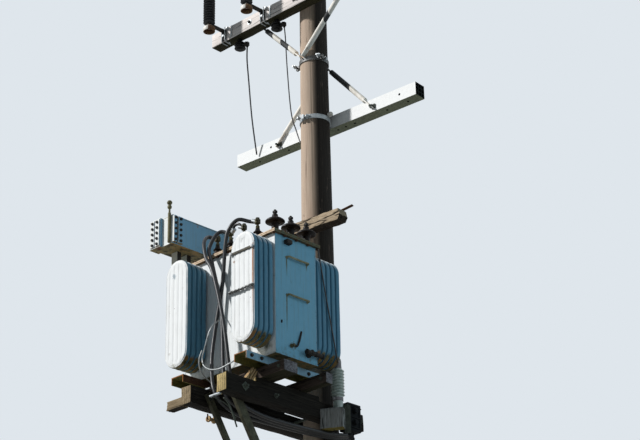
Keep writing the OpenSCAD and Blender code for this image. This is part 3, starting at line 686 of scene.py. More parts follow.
# brown glazed porcelain of the bushings, almost black
BROWN_GLAZE = smooth("brown_glazed_porcelain", "#211713", "#150f0c", "#0b0706", 0.34, 0.0, 40, 0.2,
                     "#2a2420", 0.05, 0.12)
# silicone rubber sheds
RUBBER = smooth("silicone_rubber", "#34373a", "#242629", "#181a1b", 0.5, 0.0, 45, 0.3, "#6a665f", 0.25, 0.35)
# cross linked polyethylene cable, its top greyed by the sun
CABLE = smooth("black_cable_sheath", "#222326", "#151618", "#0e0f10", 0.34, 0.0, 60, 0.4,
               "#66686c", 0.2, 0.4)
# moulded cable connector, matt black
MOULDED_BLACK = smooth("moulded_black_connector", "#202224", "#16181a", "#0e0f11", 0.7, 0.0, 50, 0.3,
                       "#2e3033", 0.1, 0.1)
# glazed bells of the small insulators
BELL = smooth("black_glazed_bell", "#151315", "#0e0d0e", "#080708", 0.32, 0.0, 40, 0.2,
              "#242220", 0.08, 0.15)


# Sizes and places that the CAD solids give


def box(name):
    """A CAD node's lowest and highest corners at rest, in mm."""
    return [[round(1000 * v, 2) for v in corner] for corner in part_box(name)]


HEX_16 = bolt("hex_16", 24, 10, 34, 3, stud=14)
HEX_12 = bolt("hex_12", 19, 8, 26, 2.5)
HEX_10 = bolt("hex_10", 17, 7, 21, 2)
HEX_8 = bolt("hex_8", 12, 5, 16, 1.6)
SQUARE_16 = bolt("square_16", 26, 11, 46, 5, square=True, stud=16)

POLE_H, POLE_FOOT_R, POLE_TOP_R = box("pole")[1][2], box("pole")[1][0], 95
# each crossarm: a point on its lower edge against the pole, the upright, and its turn about that
UPPER = ((0, -99.6, box("upper_crossarm")[0][2]), UP, 1.5)
LOWER = ((-14, 105.6, box("lower_crossarm")[0][2]), UP, 4.3)
ARM_L, ARM_D, ARM_H = 1750, 90, 112
ARRESTER_X, BELL_X = (-737, -328, 737), (-630, -235, 630)
BEAM_LOW, BEAM_HIGH = box("main_beams")
BEAM_OUT, BEAM_W = BEAM_HIGH[0], 88
BEAM_IN = BEAM_OUT - BEAM_W
PACK_TOP = box("beam_packers")[1][2]
CROSS_LOW, (_, _, CROSS_TOP) = box("cross_timbers")
LID_LOW, LID_HIGH = box("tank_lid")
LID_TOP, TANK_TOP, TANK_FOOT = LID_HIGH[2], LID_LOW[2], box("tank")[0][2]
LID_OVER = 24
WALL_LEFT, WALL_FRONT = (v + LID_OVER for v in LID_LOW[:2])
WALL_RIGHT, WALL_BACK = (v - LID_OVER for v in LID_HIGH[:2])
MID_Y = (WALL_FRONT + WALL_BACK) / 2
LV_X, LV_Y = (-270, -140, -10, 120), -690


# Pole and crossarms

# drying checks in the pole: angle in degrees, lowest and highest point and depth
CHECKS = ((-118, 300, 3900, 3), (-96, 4300, 6700, 1), (-58, 6900, 8900, 1.2), (-40, 200, 2600, 3),
          (-8, 2900, 6900, 4), (14, 500, 4800, 4), (62, 3800, 9100, 5), (118, 900, 6200, 5),
          (171, 2400, 8800, 5), (-150, 3300, 8200, 4))


def pole_r(z):
    """Radius of the pole at a height."""
    return POLE_FOOT_R + (POLE_TOP_R - POLE_FOOT_R) * z / POLE_H


def make_pole():
    """A tapered pole, its drying checks pulled in from a fine mesh."""
    quiet()
    bpy.ops.mesh.primitive_cone_add(vertices=144, radius1=POLE_FOOT_R / 1000, radius2=POLE_TOP_R / 1000,
                                    depth=POLE_H / 1000, location=(0, 0, POLE_H / 2000))
    piece = named("timber_pole")
    edit(piece, lambda c, n: n.z > 0.9)
    bpy.ops.mesh.inset(thickness=0.012)
    cut_up(piece, 2, 110)
    for point in piece.data.vertices:
        x, y, z = point.co
        out = math.hypot(x, y)
        if out < 0.06 or z > 9.299 or z < 0.001:
            continue
        turn = math.degrees(math.atan2(y, x))
        pull = 0.0015 + 0.002 * noise.noise(Vector((x * 9, y * 9, z * 1.3)))
        for angle, low, high, depth in CHECKS:
            line = angle + 2.2 * noise.noise(Vector((angle, z * 0.9, 0)))
            aside = abs((turn - line + 180) % 360 - 180)
            ends = min(max(min(z * 1000 - low, high - z * 1000) / 400, 0), 1)
            pull += max(1 - aside / 2.4, 0) * ends * depth / 1000
        point.co.x, point.co.y = x * (1 - pull / out), y * (1 - pull / out)
    finish_faces(piece, (POLE_WOOD, POLE_TOP), lambda face: abs(face.normal.z) > 0.8)
    smooth_shade(piece, 50)
    done(piece, POLE_WOOD, "pole_wood", "pole")


def make_upper_arm():
    """The upper arm with its bolts, and the clamps of its arresters."""
    half = ARM_L / 2
    arm = timber("upper_arm_timber", (-half, -ARM_D, 0), (half, 0, ARM_H), ARM_WOOD, ARM_END, 4, 2.2, 3)
    done(laid(arm, *UPPER), ARM_WOOD, "arm_timber", "upper_crossarm")
    dark = copies(SQUARE_16, [((x, -ARM_D, 64), FRONT, 45) for x in (0, 60, 330)])
    dark += copies(HEX_16, [((x, -ARM_D / 2, ARM_H), UP, 20 * i) for i, x in enumerate(BELL_X)])
    dark += copies(HEX_12, [((-470, -93, 59), FRONT, 10)])
    bright = [laid(turned("ring", [(8, 0), (21, 0), (21, 3), (8, 3)], steps=28), (-470, -ARM_D, 59), FRONT)]
    # each arrester's clamp: a dark plate under two loops round the arm, a bright nut and a bent strap
    loop = ((0, -40, 118), (0, -86, 119), (0, -101, 113), (2, -105, 96), (3, -104, 50), (2, -101, 6),
            (0, -86, -6), (0, -40, -6))
    for x in ARRESTER_X:
        dark.append(block("plate", (x - 26, -98, 22), (x + 20, -89, 100), 2))
        for aside in (x - 20, x + 14):
            bright.append(tube("loop", [(aside + along, y, z) for along, y, z in loop], 9, 4))
        dark += copies(HEX_10, [((x + 2, -98, 84), FRONT, 15), ((x + 2, -98, 38), FRONT, 40)])
        nut = block("nut_block", (x + 26, -104, 88), (x + 50, -89, 108), 3)
        strap = block("bent_strap", (x + 62, -95, 10), (x + 77, -89, 108))
        cut_up(strap, 2, 14)
        for point in strap.data.vertices:
            lean = (point.co.z - 0.01) / 0.098
            point.co.x += 0.010 * math.sin(2.6 * lean)
            point.co.y -= 0.006 * math.sin(math.pi * lean)
        bright += [nut, strap]
        bright += copies(HEX_10, [((x + 40, -104, 97), FRONT, 10), ((x + 17, -60, -1), DOWN, 5)])
    done(laid(joined("upper_arm_clamps", dark), *UPPER), BLACK_STEEL, "dark_steel")
    done(laid(joined("upper_arm_nuts", bright), *UPPER), ZINC, "galvanised")


def make_lower_arm():
    """The hollow lower arm: its underside painted olive grey and its cut ends and cells nearly black, as
    shade.
    """
    arm = dressed("lower_crossarm", "lower_arm_tube", 1.6)
    turn = math.radians(LOWER[2])
    long_way = Vector((math.cos(turn), math.sin(turn), 0))
    across_way = Vector((-long_way.y, long_way.x, 0))
    near = min(v.co.dot(across_way) for v in arm.data.vertices)
    far = max(v.co.dot(across_way) for v in arm.data.vertices)
    foot = min(v.co.z for v in arm.data.vertices)

    def side(face):
        """2 in the cells and on the cut ends, 1 on the underside, else 0."""
        aside, above = face.center.dot(across_way), face.center.z - foot
        inside = near + 0.0025 < aside < far - 0.0025 and 0.0025 < above < 0.0975
        if inside or abs(face.normal.dot(long_way)) > 0.7:
            return 2
        return face.normal.z < -0.5

    done(finish_faces(arm, (COMPOSITE, DULL_COMPOSITE, CUT_COMPOSITE), side), COMPOSITE, "white_composite",
         "lower_crossarm")
    heads = copies(SQUARE_16, [((14, 100, 50), BACK, 0)])
    feet = []
    for x in (-440, 440):
        heads += copies(HEX_12, [((x - 14, 0, 57), FRONT, 10)])
        feet += copies(HEX_16, [((x + 6, -10, 40), FRONT, 20)])
        feet += copies(HEX_10, [((x + 27, 0, 47), FRONT, 5), ((x + 27, 0, 32), FRONT, 35)])
    done(laid(joined("lower_arm_bolts", heads), *LOWER), ZINC, "galvanised")
    done(laid(joined("brace_foot_bolts", feet), *LOWER), WASHER_STEEL, "dark_steel")


def make_braces():
    """The brace tubes, painted dark along some stretches as cast shadow and at a joint, and the bands that
    hold them to the pole.
    """
    for name, shadow_and_joint_spans in (("upper_brace", ((-440, -300), (-217, -134), (217, 262))),
                         ("lower_brace", ((10, 240),))):
        tubes = dressed(f"{name}s", f"{name}_tubes", 1.2)
        for x in (x for stretch in shadow_and_joint_spans for x in stretch):
            edit(tubes)
            bpy.ops.mesh.bisect(plane_co=(x / 1000, 0, 0), plane_no=RIGHT)
        quiet()
        finish_faces(tubes, (BRACE_PAINT, SHADOW_AND_JOINT_GREY),
                     lambda face: any(a < face.center.x * 1000 < b for a, b in shadow_and_joint_spans))
        done(tubes, BRACE_PAINT, "galvanised", f"{name}s")
    done(dressed("upper_band", "upper_pole_band", 1.5), CHAIN_STEEL, "dark_steel", "upper_band")
    # the lower band is clamped on with its ears turned to the front and to the back
    around = Matrix.Rotation(math.radians(-75), 4, "Z")
    band = dressed("lower_band", "lower_pole_band", 1.5)
    band.data.transform(around)
    done(band, ZINC, "galvanised", "lower_band")
    bolts = []
    for z, out, y in ((8163, 17.6, -42), (7685, 14.3, -30)):
        spots = [((s * (pole_r(z) + out), y + along, z), way, turn)
                 for along, way, turn in ((-32, FRONT, 10), (31, BACK, 30)) for s in (-1, 1)]
        bolts.append(joined("band_bolts", copies(HEX_16, spots)))
    bolts[1].data.transform(around)
    done(joined("band_bolts", bolts), ZINC, "galvanised")
    # the arm's own through bolt comes out beside the lower band, under a moulded cap
    cap = turned("bolt_cap", [(8, 0), (18, 1), (18, 24), (14, 30), (5, 32)], steps=28)
    done(laid(cap, (pole_r(7720) - 3, 36, 7722), RIGHT), CUP_WHITE, "foot_white")


def make_upper_arresters():
    """Three arresters of silicone sheds, on cups under their bracket arms."""
    foot, pitch, sheds = 8678, 300 / 14, 14
    done(dressed("arrester_brackets", "arrester_arms", 1.5), BLACK_STEEL, "dark_steel", "arrester_brackets")
    rings = [(28, 0), (30, 1.5)]
    for z in (i * pitch for i in range(sheds)):
        rings += [(30, z + 2), (43, z + 0.3 * pitch), (45, z + 0.36 * pitch), (44, z + 0.44 * pitch),
                  (31.5, z + 0.62 * pitch), (30, z + 0.8 * pitch)]
    rings += [(30, 300), (15, 301), (13, 304), (13, 338), (11, 340)]
    column = turned("arrester_column", rings, steps=36)
    columns = copies(column, [((x, -365, foot), UP) for x in ARRESTER_X], True)
    done(joined("silicone_arresters", columns), RUBBER, "dark_rubber", "line_arresters")
    cup = turned("arrester_cup", [(10, 0), (10, -24), (33, -25), (36, -56), (38, -60), (44, -60), (45, -58),
                                  (45, -30), (42, -24), (30, -16), (17, -9), (16, -4), (16, 0)], steps=40)

    def rust_and_shade(face):
        """Inside the bowl, under it, and down its right side."""
        bowl = math.hypot(face.center.x, face.center.y) < 0.037 and face.center.z < -0.02
        return bowl or face.normal.z < -0.6 or face.normal.x > 0.55

    finish_faces(cup, (CUP_WHITE, CUP_BROWN), rust_and_shade)
    cups = copies(cup, [((x, -365, foot - 8), UP) for x in ARRESTER_X], True)
    done(joined("arrester_cups", cups), CUP_WHITE, "foot_white", "arrester_feet")
    heads = copies(HEX_12, [((x, -365, foot - 32), DOWN, 15) for x in ARRESTER_X])
    heads += copies(HEX_12, [((x, -198 + x * 0.026, foot - 46), FRONT, 15) for x in ARRESTER_X])
    done(joined("arrester_bolts", heads), ZINC, "galvanised")


def make_bells():
    """Three bell insulators under the upper arm, each with a clamp on its stem."""
    model = turned("bell", [
        (15, 0), (17, -2), (17, -22), (24, -26), (36, -34), (44, -44), (46, -50), (44, -52), (32, -53),
        (30, -56), (30, -64), (36, -68), (42, -74), (44, -79), (42, -82), (25, -85), (24, -90), (22, -95)],
        steps=40)
    bells = copies(model, [((x, -145, UPPER[0][2]), UP) for x in BELL_X], True)
    done(joined("glazed_bells", bells), BELL, "brown_glaze", "bell_insulators")
    parts = []
    for x in BELL_X:
        parts.append(tube("stem", [(x + 20, -145, 8515), (x + 78, -145, 8515)], 16, 0))
        parts.append(block("jaw", (x + 64, -158, 8499), (x + 90, -132, 8531), 4))
        parts += copies(HEX_10, [((x + 77, -158, 8520), FRONT, 12), ((x + 77, -145, 8499), DOWN, 12)])
    done(joined("bell_clamps", parts), BLACK_STEEL, "dark_steel")


def make_drop_leads():
    """Two leads that hang from the bells: one to the lower arm, one to the pole."""
    one = tube("lead", [(-553, -145, 8497), (-590, -112, 8407), (-622, -65, 8260), (-635, -20, 7960),
                        (-651, 43, 7686)], 11)
    two = tube("lead", [(-158, -145, 8497), (-172, -120, 8417), (-176, -100, 8150), (-170, -72, 7810),
                        (-146, -46, 7660), (-100, -52, 7540)], 9)
    done(joined("drop_wires", [one, two]), CABLE, "cable_black", "drop_leads")


def make_top_timber():
    """A short weathered timber across the pole, broken off at its right end, and the strap left on it."""
    piece = block("broken_timber", (-150, -90, 0), (368, 0, 83), 3)
    for co, way in (((0.345, 0, 0), (0.034, 0, -0.023)), ((0.368, 0, 0.034), (0.049, 0, 0.016))):
        edit(piece)
        bpy.ops.mesh.bisect(plane_co=co, plane_no=way, clear_outer=True, use_fill=True)
    for axis, step in enumerate((26, 18, 18)):
        cut_up(piece, axis, step)
    wear(piece, 5, 40, 7)
    for point in piece.data.vertices:
        if point.co.x > 0.33:
            point.co.x -= 0.018 * abs(noise.noise(point.co * 60))
    smooth_shade(piece, 30)
    foot = box("top_timber")[0][2]
    done(laid(piece, (0, -pole_r(foot), foot), UP, 6), GREY_WOOD, "grey_wood", "top_timber")
    done(dressed("top_strap", "loose_strap", 1), RUSTY_STEEL, "rusty_steel", "top_strap")


# Platform


def make_platform():
    """Two beams, the battens and cross timbers on them, the ragged batten, and the steel that holds them."""
    (_, front, foot), (_, back, top) = BEAM_LOW, BEAM_HIGH
    beams = [timber("beam", (x, front, foot), (x + BEAM_W, back, top), BEAM_WOOD, end, 4, 3, seed, (45, 30))
             for x, seed, end in ((-BEAM_OUT, 11, OLD_BEAM_END), (BEAM_IN, 23, BEAM_END))]
    done(joined("platform_beams", beams), BEAM_WOOD, "platform_wood", "main_beams")
    packers = [timber("packer", (x, -780, top), (x + 78, -215, PACK_TOP), BEAM_WOOD, BEAM_END,
                      3, 2, seed, (45, 18))
               for x, seed in ((-BEAM_OUT + 10, 5), (BEAM_IN, 8))]
    done(joined("beam_battens", packers), BEAM_WOOD, "platform_wood", "beam_packers")
    crosses = [timber("cross", (CROSS_LOW[0], near, PACK_TOP), (x, far, CROSS_TOP), CROSS_WOOD, CROSS_END,
                      4, 3, seed, (45, 24))
               for near, far, x, seed in ((-745, -625, 410.5, 31), (-383, -323, 425.5, 37))]
    done(joined("cross_beams", crosses), CROSS_WOOD, "platform_wood", "cross_timbers")
    batten = timber("ragged_batten", (-354, -1050, 5356), (-208.4, -988, 5416), SPLIT_GREY, SPLIT_WOOD,
                    3, 4, 41, (14, 12))
    for point in batten.data.vertices:
        if point.co.x < -0.345:
            point.co.x += 0.022 * abs(noise.noise(point.co * 70))
    done(batten, GREY_WOOD, "platform_wood", "end_batten")
    for name, piece, edge, finish, slot in (
            ("front_bars", "front_flat_bars", 1.2, ZINC, "galvanised"),
            ("knee_braces", "knee_angles", 1.4, OLIVE_STEEL, "galvanised"),
            ("knee_band", "knee_pole_band", 1.4, BLACK_STEEL, "dark_steel")):
        done(dressed(name, piece, edge), finish, slot, name)
    z = (foot + top) / 2
    square = [((s * (BEAM_OUT - 1), -887, z), (s, 0, 0)) for s in (-1, 1)]
    plain = [((s * (BEAM_OUT - 1), y, z), (s, 0, 0), 25) for s in (-1, 1) for y in (-620, -150, 150)]
    plain += [((s * (BEAM_IN + 1), y, z), (-s, 0, 0), 25) for s in (-1, 1) for y in (-887, -620)]
    parts = copies(SQUARE_16, square) + copies(HEX_16, plain)
    for y in (-150, 150):
        parts.append(tube("rod", [(-BEAM_IN - 4, y, z), (BEAM_IN + 4, y, z)], 18, 0, 5))
    done(joined("platform_through_bolts", parts), WASHER_STEEL, "rusty_steel", "platform_bolts")
    spots = [((x, y, CROSS_TOP), UP, 20) for y in (-685, -353) for x in (-425, 395)]
    spots += [((s * 164, y, CROSS_TOP), UP, 35) for y in (-650, -353) for s in (-1, 1)]
    spots += [((x, y, 5546), FRONT, 20) for y, x in ((-745, 365), (-745, 20), (-745, -330), (-383, 380))]
    done(joined("cross_beam_bolts", copies(HEX_12, spots)), WASHER_STEEL, "rusty_steel")


def make_brace_rods():
    """Two tie rods beside the near beam, and a wooden spool on its hanger beside the far one."""
    one = tube("rod", [(106.4, -975, 5346), (86.4, -905, 5315), (84.4, -842, 5190)], 10)
    two = tube("rod", [(80.4, -1040, 5346), (68.4, -905, 5322), (74.4, -842, 5250)], 8)
    done(joined("tie_rods", [one, two]), WASHER_STEEL, "bare_wire", "brace_rods")
    spool = turned("wooden_spool", [
        (9, 0), (20, 1), (21, 4), (21, 12), (19, 15), (12, 17), (11, 46), (19, 48), (21, 51), (21, 60),
        (20, 63), (9, 64)], steps=28)
    done(laid(spool, (-222, -812, 5329), BACK), SPLIT_WOOD, "fresh_wood")
    hanger = [tube("strap", [(-222, y, z) for z in (5329, 5352, 5361)], 9, 0) for y in (-812, -748)]
    hanger.append(tube("pin", [(-222, -820, 5329), (-222, -740, 5329)], 9, 0))
    done(joined("spool_hanger", hanger), RUSTY_STEEL, "rusty_steel")


def make_wedges():
    """The split wedges, leaning and drawn in toward their tops, with the packing block and its strap."""
    wedges = dressed("packing_wedges", "split_wedges", 1, segments=1)
    side, middle, foot, top = 0.2064, -0.816, BEAM_HIGH[2] / 1000, CROSS_TOP / 1000
    for point in wedges.data.vertices:
        x, y, z = point.co
        point.co.x = side + (x - side) * (0.42 + 0.5 * (top - z) / (top - foot))
        point.co.y = middle + (y - middle) * 0.62 + 0.42 * (z - 5.515)
        point.co.z = foot + (z - foot) * 0.8
    cut_up(wedges, 2, 9)
    wear(wedges, 3, 14, 9)
    smooth_shade(wedges, 30)
    done(wedges, SPLIT_WOOD, "fresh_wood", "packing_wedges")
    piece = dressed("packing_block", "packing_timber", 3)
    cut_up(piece, 2, 12)
    cut_up(piece, 0, 16)
    wear(piece, 3, 30, 12)
    smooth_shade(piece, 40)
    done(piece, GREY_BLOCK, "grey_wood", "packing_block")
    done(dressed("block_strap", "packing_strap", 0.8), WASHER_STEEL, "galvanised", "block_strap")


def make_connector():
    """The moulded connector block, its side and front sunk, with ribs round it and two knobs."""
    body = block("cable_connector", (208.4, -45, 5305), (290.4, 80, 5493), 5, 3)
    for way, rim, deep in ((RIGHT, 0.010, 0.006), (FRONT, 0.009, 0.005)):
        edit(body, lambda c, n: n.dot(Vector(way)) > 0.999)
        bpy.ops.mesh.inset(thickness=rim)
        bpy.ops.mesh.inset(thickness=0.003, depth=-deep)
    quiet()
    knob = turned("knob", [(16, 0), (20, 1), (20, 6), (18.5, 8), (18.5, 17), (16, 21), (8, 22)], steps=28)
    parts = [body] + copies(knob, [((290.4, 20, z), RIGHT) for z in (5442, 5364)], True)
    parts += [block("rib", (206, -47.5, z - 3), (292.5, 82.5, z + 3), 1.2) for z in (5330, 5400, 5468)]
    piece = joined("cable_connector", parts)
    smooth_shade(piece, 35)
    done(piece, MOULDED_BLACK, "cable_black", "connector_block")


def make_porcelain_arrester():
    """The ribbed porcelain arrester, and its cast cap, band and bolts."""
    at = (270.4, -115, 5422)
    rings, pitch, ribs = [(31, 0), (33, 2), (33, 86), (31, 89), (31, 92)], 185 / 9, 9
    for z in (93 + i * pitch for i in range(ribs)):
        rings += [(34, z), (42.5, z + 0.28 * pitch), (45, z + 0.38 * pitch), (45, z + 0.48 * pitch),
                  (43, z + 0.58 * pitch), (35, z + 0.8 * pitch)]
    body = turned("ribbed_porcelain", rings + [(34, 279), (32, 282)], at, 44)
    done(body, PORCELAIN, "porcelain", "porcelain_arrester")
    cap = turned("arrester_cap", [
        (26, 280), (28, 283), (28, 300), (27, 303), (27, 340), (25, 345), (22, 354), (10, 357), (8, 359),
        (8, 371), (6, 372)], at, 40)
    band = turned("band", [(33.5, 60), (35.5, 61), (35.5, 84), (33.5, 85)], at, 40)
    parts = [cap, band, block("ear", (262, -156, 5484), (279, -146, 5505), 2)]
    parts += copies(HEX_12, [((270.4, -115, 5781), UP)])
    parts += copies(HEX_10, [((270.4, -156, 5494), FRONT, 10)])
    done(joined("arrester_cap_and_band", parts), CAP_METAL, "galvanised")


# Transformer


def make_tank():
    """The tank with its welded corners, rim and foot, the lid on it, and the bolts round the lid."""
    rim_foot = TANK_TOP - 10
    body = block("tank_shell", (WALL_LEFT, WALL_FRONT, TANK_FOOT), (WALL_RIGHT, WALL_BACK, TANK_TOP), 8, 4)
    cut_up(body, 1, 60)
    cut_up(body, 2, 70)
    # the end walls are dished a little by welding, between the corner welds
    mid_z = (TANK_FOOT + TANK_TOP) / 2
    for point in body.data.vertices:
        x, y, z = point.co * 1000
        if min(abs(x - WALL_RIGHT), abs(x - WALL_LEFT)) < 0.5:
            y, z = (y - MID_Y) / 170, (z - mid_z) / 400
            swell = max(1 - y * y, 0) * max(1 - z * z, 0) * 0.0025
            point.co.x += math.copysign(swell, x)
    wear(body, 0.8, 160, 3)
    smooth_shade(body, 40)
    rim = block("rim", (*LID_LOW[:2], rim_foot), (*LID_HIGH[:2], TANK_TOP), 2.5)
    foot = block("foot", (WALL_LEFT - 4, WALL_FRONT - 4, TANK_FOOT),
                 (WALL_RIGHT + 4, WALL_BACK + 4, TANK_FOOT + 10), 2)
    seams = [tube("seam", [(x, y, z) for z in (TANK_FOOT + 10, rim_foot)], 7, 0)
             for x, y in ((-502.74, -757), (350.768, -757), (350.768, -388), (-502.74, -388))]
    for part in (body, foot, *seams):
        part.data.materials.append(TANK_PAINT)
    rim.data.materials.append(LID_PAINT)
    done(joined("tank_shell", [body, rim, foot] + seams), TANK_PAINT, "tank_paint", "tank")
    lid = block("tank_cover", LID_LOW, LID_HIGH, 2.5)
    cut_up(lid, 0, 50)
    wear(lid, 0.8, 80, 5)
    done(lid, LID_PAINT, "tank_paint", "tank_lid")
    levels, spots = ((LID_TOP, UP), (rim_foot, DOWN)), []
    for i in range(9):
        for z, way in levels:
            spots += [((-508 + i * 108, y, z), way, turn * i) for y, turn in ((-773, 17), (-372, 23))]
    for i in range(3):
        for z, way in levels:
            spots += [((x, -680 + i * 108, z), way, 13 * i) for x in (364, -516)]
    done(joined("cover_bolts", copies(HEX_10, spots)), RUSTY_STEEL, "rusty_steel")


def step_up(a, b, x):
    """0 below a, 1 above b, and a smooth rise between them."""
    t = min(max((x - a) / (b - a), 0), 1)
    return t * t * (3 - 2 * t)


def pressed_panel():
    """One pressed radiator panel, its foot on the origin: two dished sheets welded at a flat rim."""
    quiet()
    bpy.ops.mesh.primitive_grid_add(x_subdivisions=56, y_subdivisions=48, size=1)
    piece = named("radiator_panel")
    r, height = 110, 760
    for point in piece.data.vertices:
        u, t = math.sin(point.co.x * math.pi), point.co.y + 0.5
        z = height * (0.5 - 0.5 * math.cos(math.pi * t))
        heart = min(max(z, r), height - r)
        x = u * math.sqrt(max(r * r - (z - heart) ** 2, 0))
        inside = max(r - math.hypot(x, z - heart), 0)
        # a flat welded rim, a groove, and a face with four shallow flutes
        deep = 16 * math.sqrt(max(1 - (1 - min(inside / 4, 1)) ** 2, 0)) + 3 * step_up(8, 14, inside)
        deep -= 2.2 * max(1 - ((inside - 9) / 2.5) ** 2, 0)
        for flute in (-66, -22, 22, 66):
            dip = max(1 - ((x - flute) / 9) ** 2, 0)
            deep -= 4.0 * dip * dip * step_up(24, 50, inside)
        point.co = Vector((x, -deep, z)) / 1000
    apply(piece, "MIRROR", use_axis=(False, True, False), use_clip=True, merge_threshold=0.00002)
    edit(piece)
    bpy.ops.mesh.remove_doubles(threshold=0.00002)
    bpy.ops.mesh.normals_make_consistent(inside=False)
    quiet()
    smooth_shade(piece, 60)
    return piece


def make_radiators():
    """Four groups of panels on header pipes. The outermost panel of a front group is the most weathered; the
    inner panels are painted darker, as shade between the panels.
    """
    model = pressed_panel()
    for side, x in (("right", 242), ("left", -394)):
        for face, way, count in (("front", -1, 4), ("back", 1, 5)):
            ys = [MID_Y + way * (220.5 + 44 * i) for i in range(count)]
            parts = copies(model, [((x, y, 5690), UP) for y in ys])
            for number, part in enumerate(parts):
                outermost = face == "front" and number == count - 1
                part.data.materials.append(FRONT_PAINT if outermost else PANEL_PAINT)
                wear(part, 1.0, 120, number * 3 + x)
            for z in (5800, 6340):
                parts.append(tube("header", [(x, MID_Y + way * 186, z), (x, ys[-1], z)], 60, 0, 7))
                parts[-1].data.materials.append(PANEL_PAINT)
            piece = joined(f"radiator_{face}_{side}_panels", parts)
            done(piece, PANEL_PAINT, "tank_paint", f"radiator_{face}_{side}")
    bpy.data.objects.remove(model)


def make_strap_and_chain():
    """The flat strap across the front panels, and the short chain below it."""
    y, z = -951.5, 6317
    bar = block("strap", (134, y, z - 9), (350, -944, z + 9), 2)
    finish_faces(bar, (STRAP_STEEL, ZINC), lambda face: face.normal.z > 0.3)
    bolts = copies(HEX_12, [((142, y, z), FRONT), ((342, y, z), FRONT, 15)])
    done(joined("tie_strap", [bar] + bolts), STRAP_STEEL, "rusty_steel", "radiator_straps")
    links, count = [], 13
    for i in range(count):
        quiet()
        bpy.ops.mesh.primitive_torus_add(major_segments=20, minor_segments=8, major_radius=0.009,
                                         minor_radius=0.0034)
        link = named("link")
        link.data.transform(Matrix.Diagonal((1.35, 1, 1, 1)))
        link.data.transform(Matrix.Rotation(math.radians(90 if i % 2 else 8), 4, "X"))
        at = (142 + i * 16.7, -957, 6047 - 4 * math.sin(math.pi * i / (count - 1)))
        links.append(laid(link, at, UP))
    links += copies(HEX_12, [((136, -951, 6047), FRONT), ((346, -951, 6047), FRONT, 25)])
    chain = joined("tie_chain", links)
    smooth_shade(chain, 60)
    done(chain, CHAIN_STEEL, "rusty_steel")


def make_end_fittings():
    """What stands on the tank's right end: two handles, a lug, a hook, the drain plug and the valve."""
    boss = turned("boss", [(11, 0), (10, 3), (8, 5)], steps=20)
    handles = []
    for z in (6320, 6055):
        handles.append(tube("handle", [(351, -655, z), (368, -655, z), (374, -649, z), (374, -562, z - 1.5),
                                       (374, -476, z), (368, -470, z), (351, -470, z)], 14, 0, 4))
        handles += copies(boss, [((WALL_RIGHT, y, z), RIGHT) for y in (-655, -470)])
    bpy.data.objects.remove(boss)
    done(joined("end_handles", handles), HANDLE_STEEL, "dark_steel", "end_fittings")
    lug = block("lug", (351, -678, 6408), (386, -628, 6438), 5, 3)
    plug = turned("plug", [(14, 0), (14, 10), (11, 12), (11, 30), (8, 34)], steps=6)
    done(laid(plug, (WALL_RIGHT, -622, 5714), RIGHT), OLIVE_PAINT, "dark_steel")
    hook = tube("hook", [(355, -530, 5834), (359, -545, 5790), (359, -562, 5742), (360, -576, 5722),
                         (361, -590, 5722)], 13, 6, 4)
    valve = turned("valve", [(24, 0), (24, 8), (18, 10), (18, 36), (22, 38), (22, 44)], steps=24)
    pipe = tube("valve", [(388, -522, 5694), (388, -372, 5694)], 30, 0, 6)
    collar = turned("collar", [(16, 0), (18, 1.5), (18, 10), (16, 12)], steps=24)
    parts = [lug, hook, laid(valve, (WALL_RIGHT, -470, 5694), RIGHT), pipe]
    parts += copies(collar, [((388, y, 5694), BACK) for y in (-520, -478, -440, -380)], True)
    done(joined("end_valve_and_hook", parts), BLACK_STEEL, "dark_steel")
    done(block("stop", (351, -710, 5850), (360, -702, 5870)), BLACK_STEEL, "dark_steel")


def make_hv_bushings():
    """Three domed high voltage bushings, each with its flange, stud and clamp."""
    model = turned("domed_bushing", [
        (27, 0), (29, 2), (29, 18), (25, 22), (24, 26), (24, 92), (30, 99), (62, 103), (65.5, 106),
        (65.5, 112), (62, 117), (52, 125), (42, 131), (30, 137), (23, 143), (20, 150), (20, 159),
        (18, 161)], steps=44)
    spots = [(270, y, LID_TOP) for y in (-675, -530, -385)]
    bushings = copies(model, [(at, UP) for at in spots], True)
    done(joined("domed_bushings", bushings), BROWN_GLAZE, "brown_glaze", "hv_bushings")
    parts = []
    for x, y, z in spots:
        parts.append(turned("stud", [(13, 160), (14, 161), (14, 166), (8, 168), (8, 196), (6, 198)],
                            (x, y, z), 24))
        parts.append(turned("flange", [(36, 0), (38, 1), (38, 9), (36, 10)], (x, y, z)))
        parts.append(block("clamp", (x - 14, y - 11, z + 172), (x + 14, y + 11, z + 190), 3))
        parts += copies(HEX_8, [((x + 34, y + 0.1, z + 9), UP), ((x - 34, y, z + 9), UP)])
    done(joined("bushing_studs", parts), BLACK_STEEL, "dark_steel")


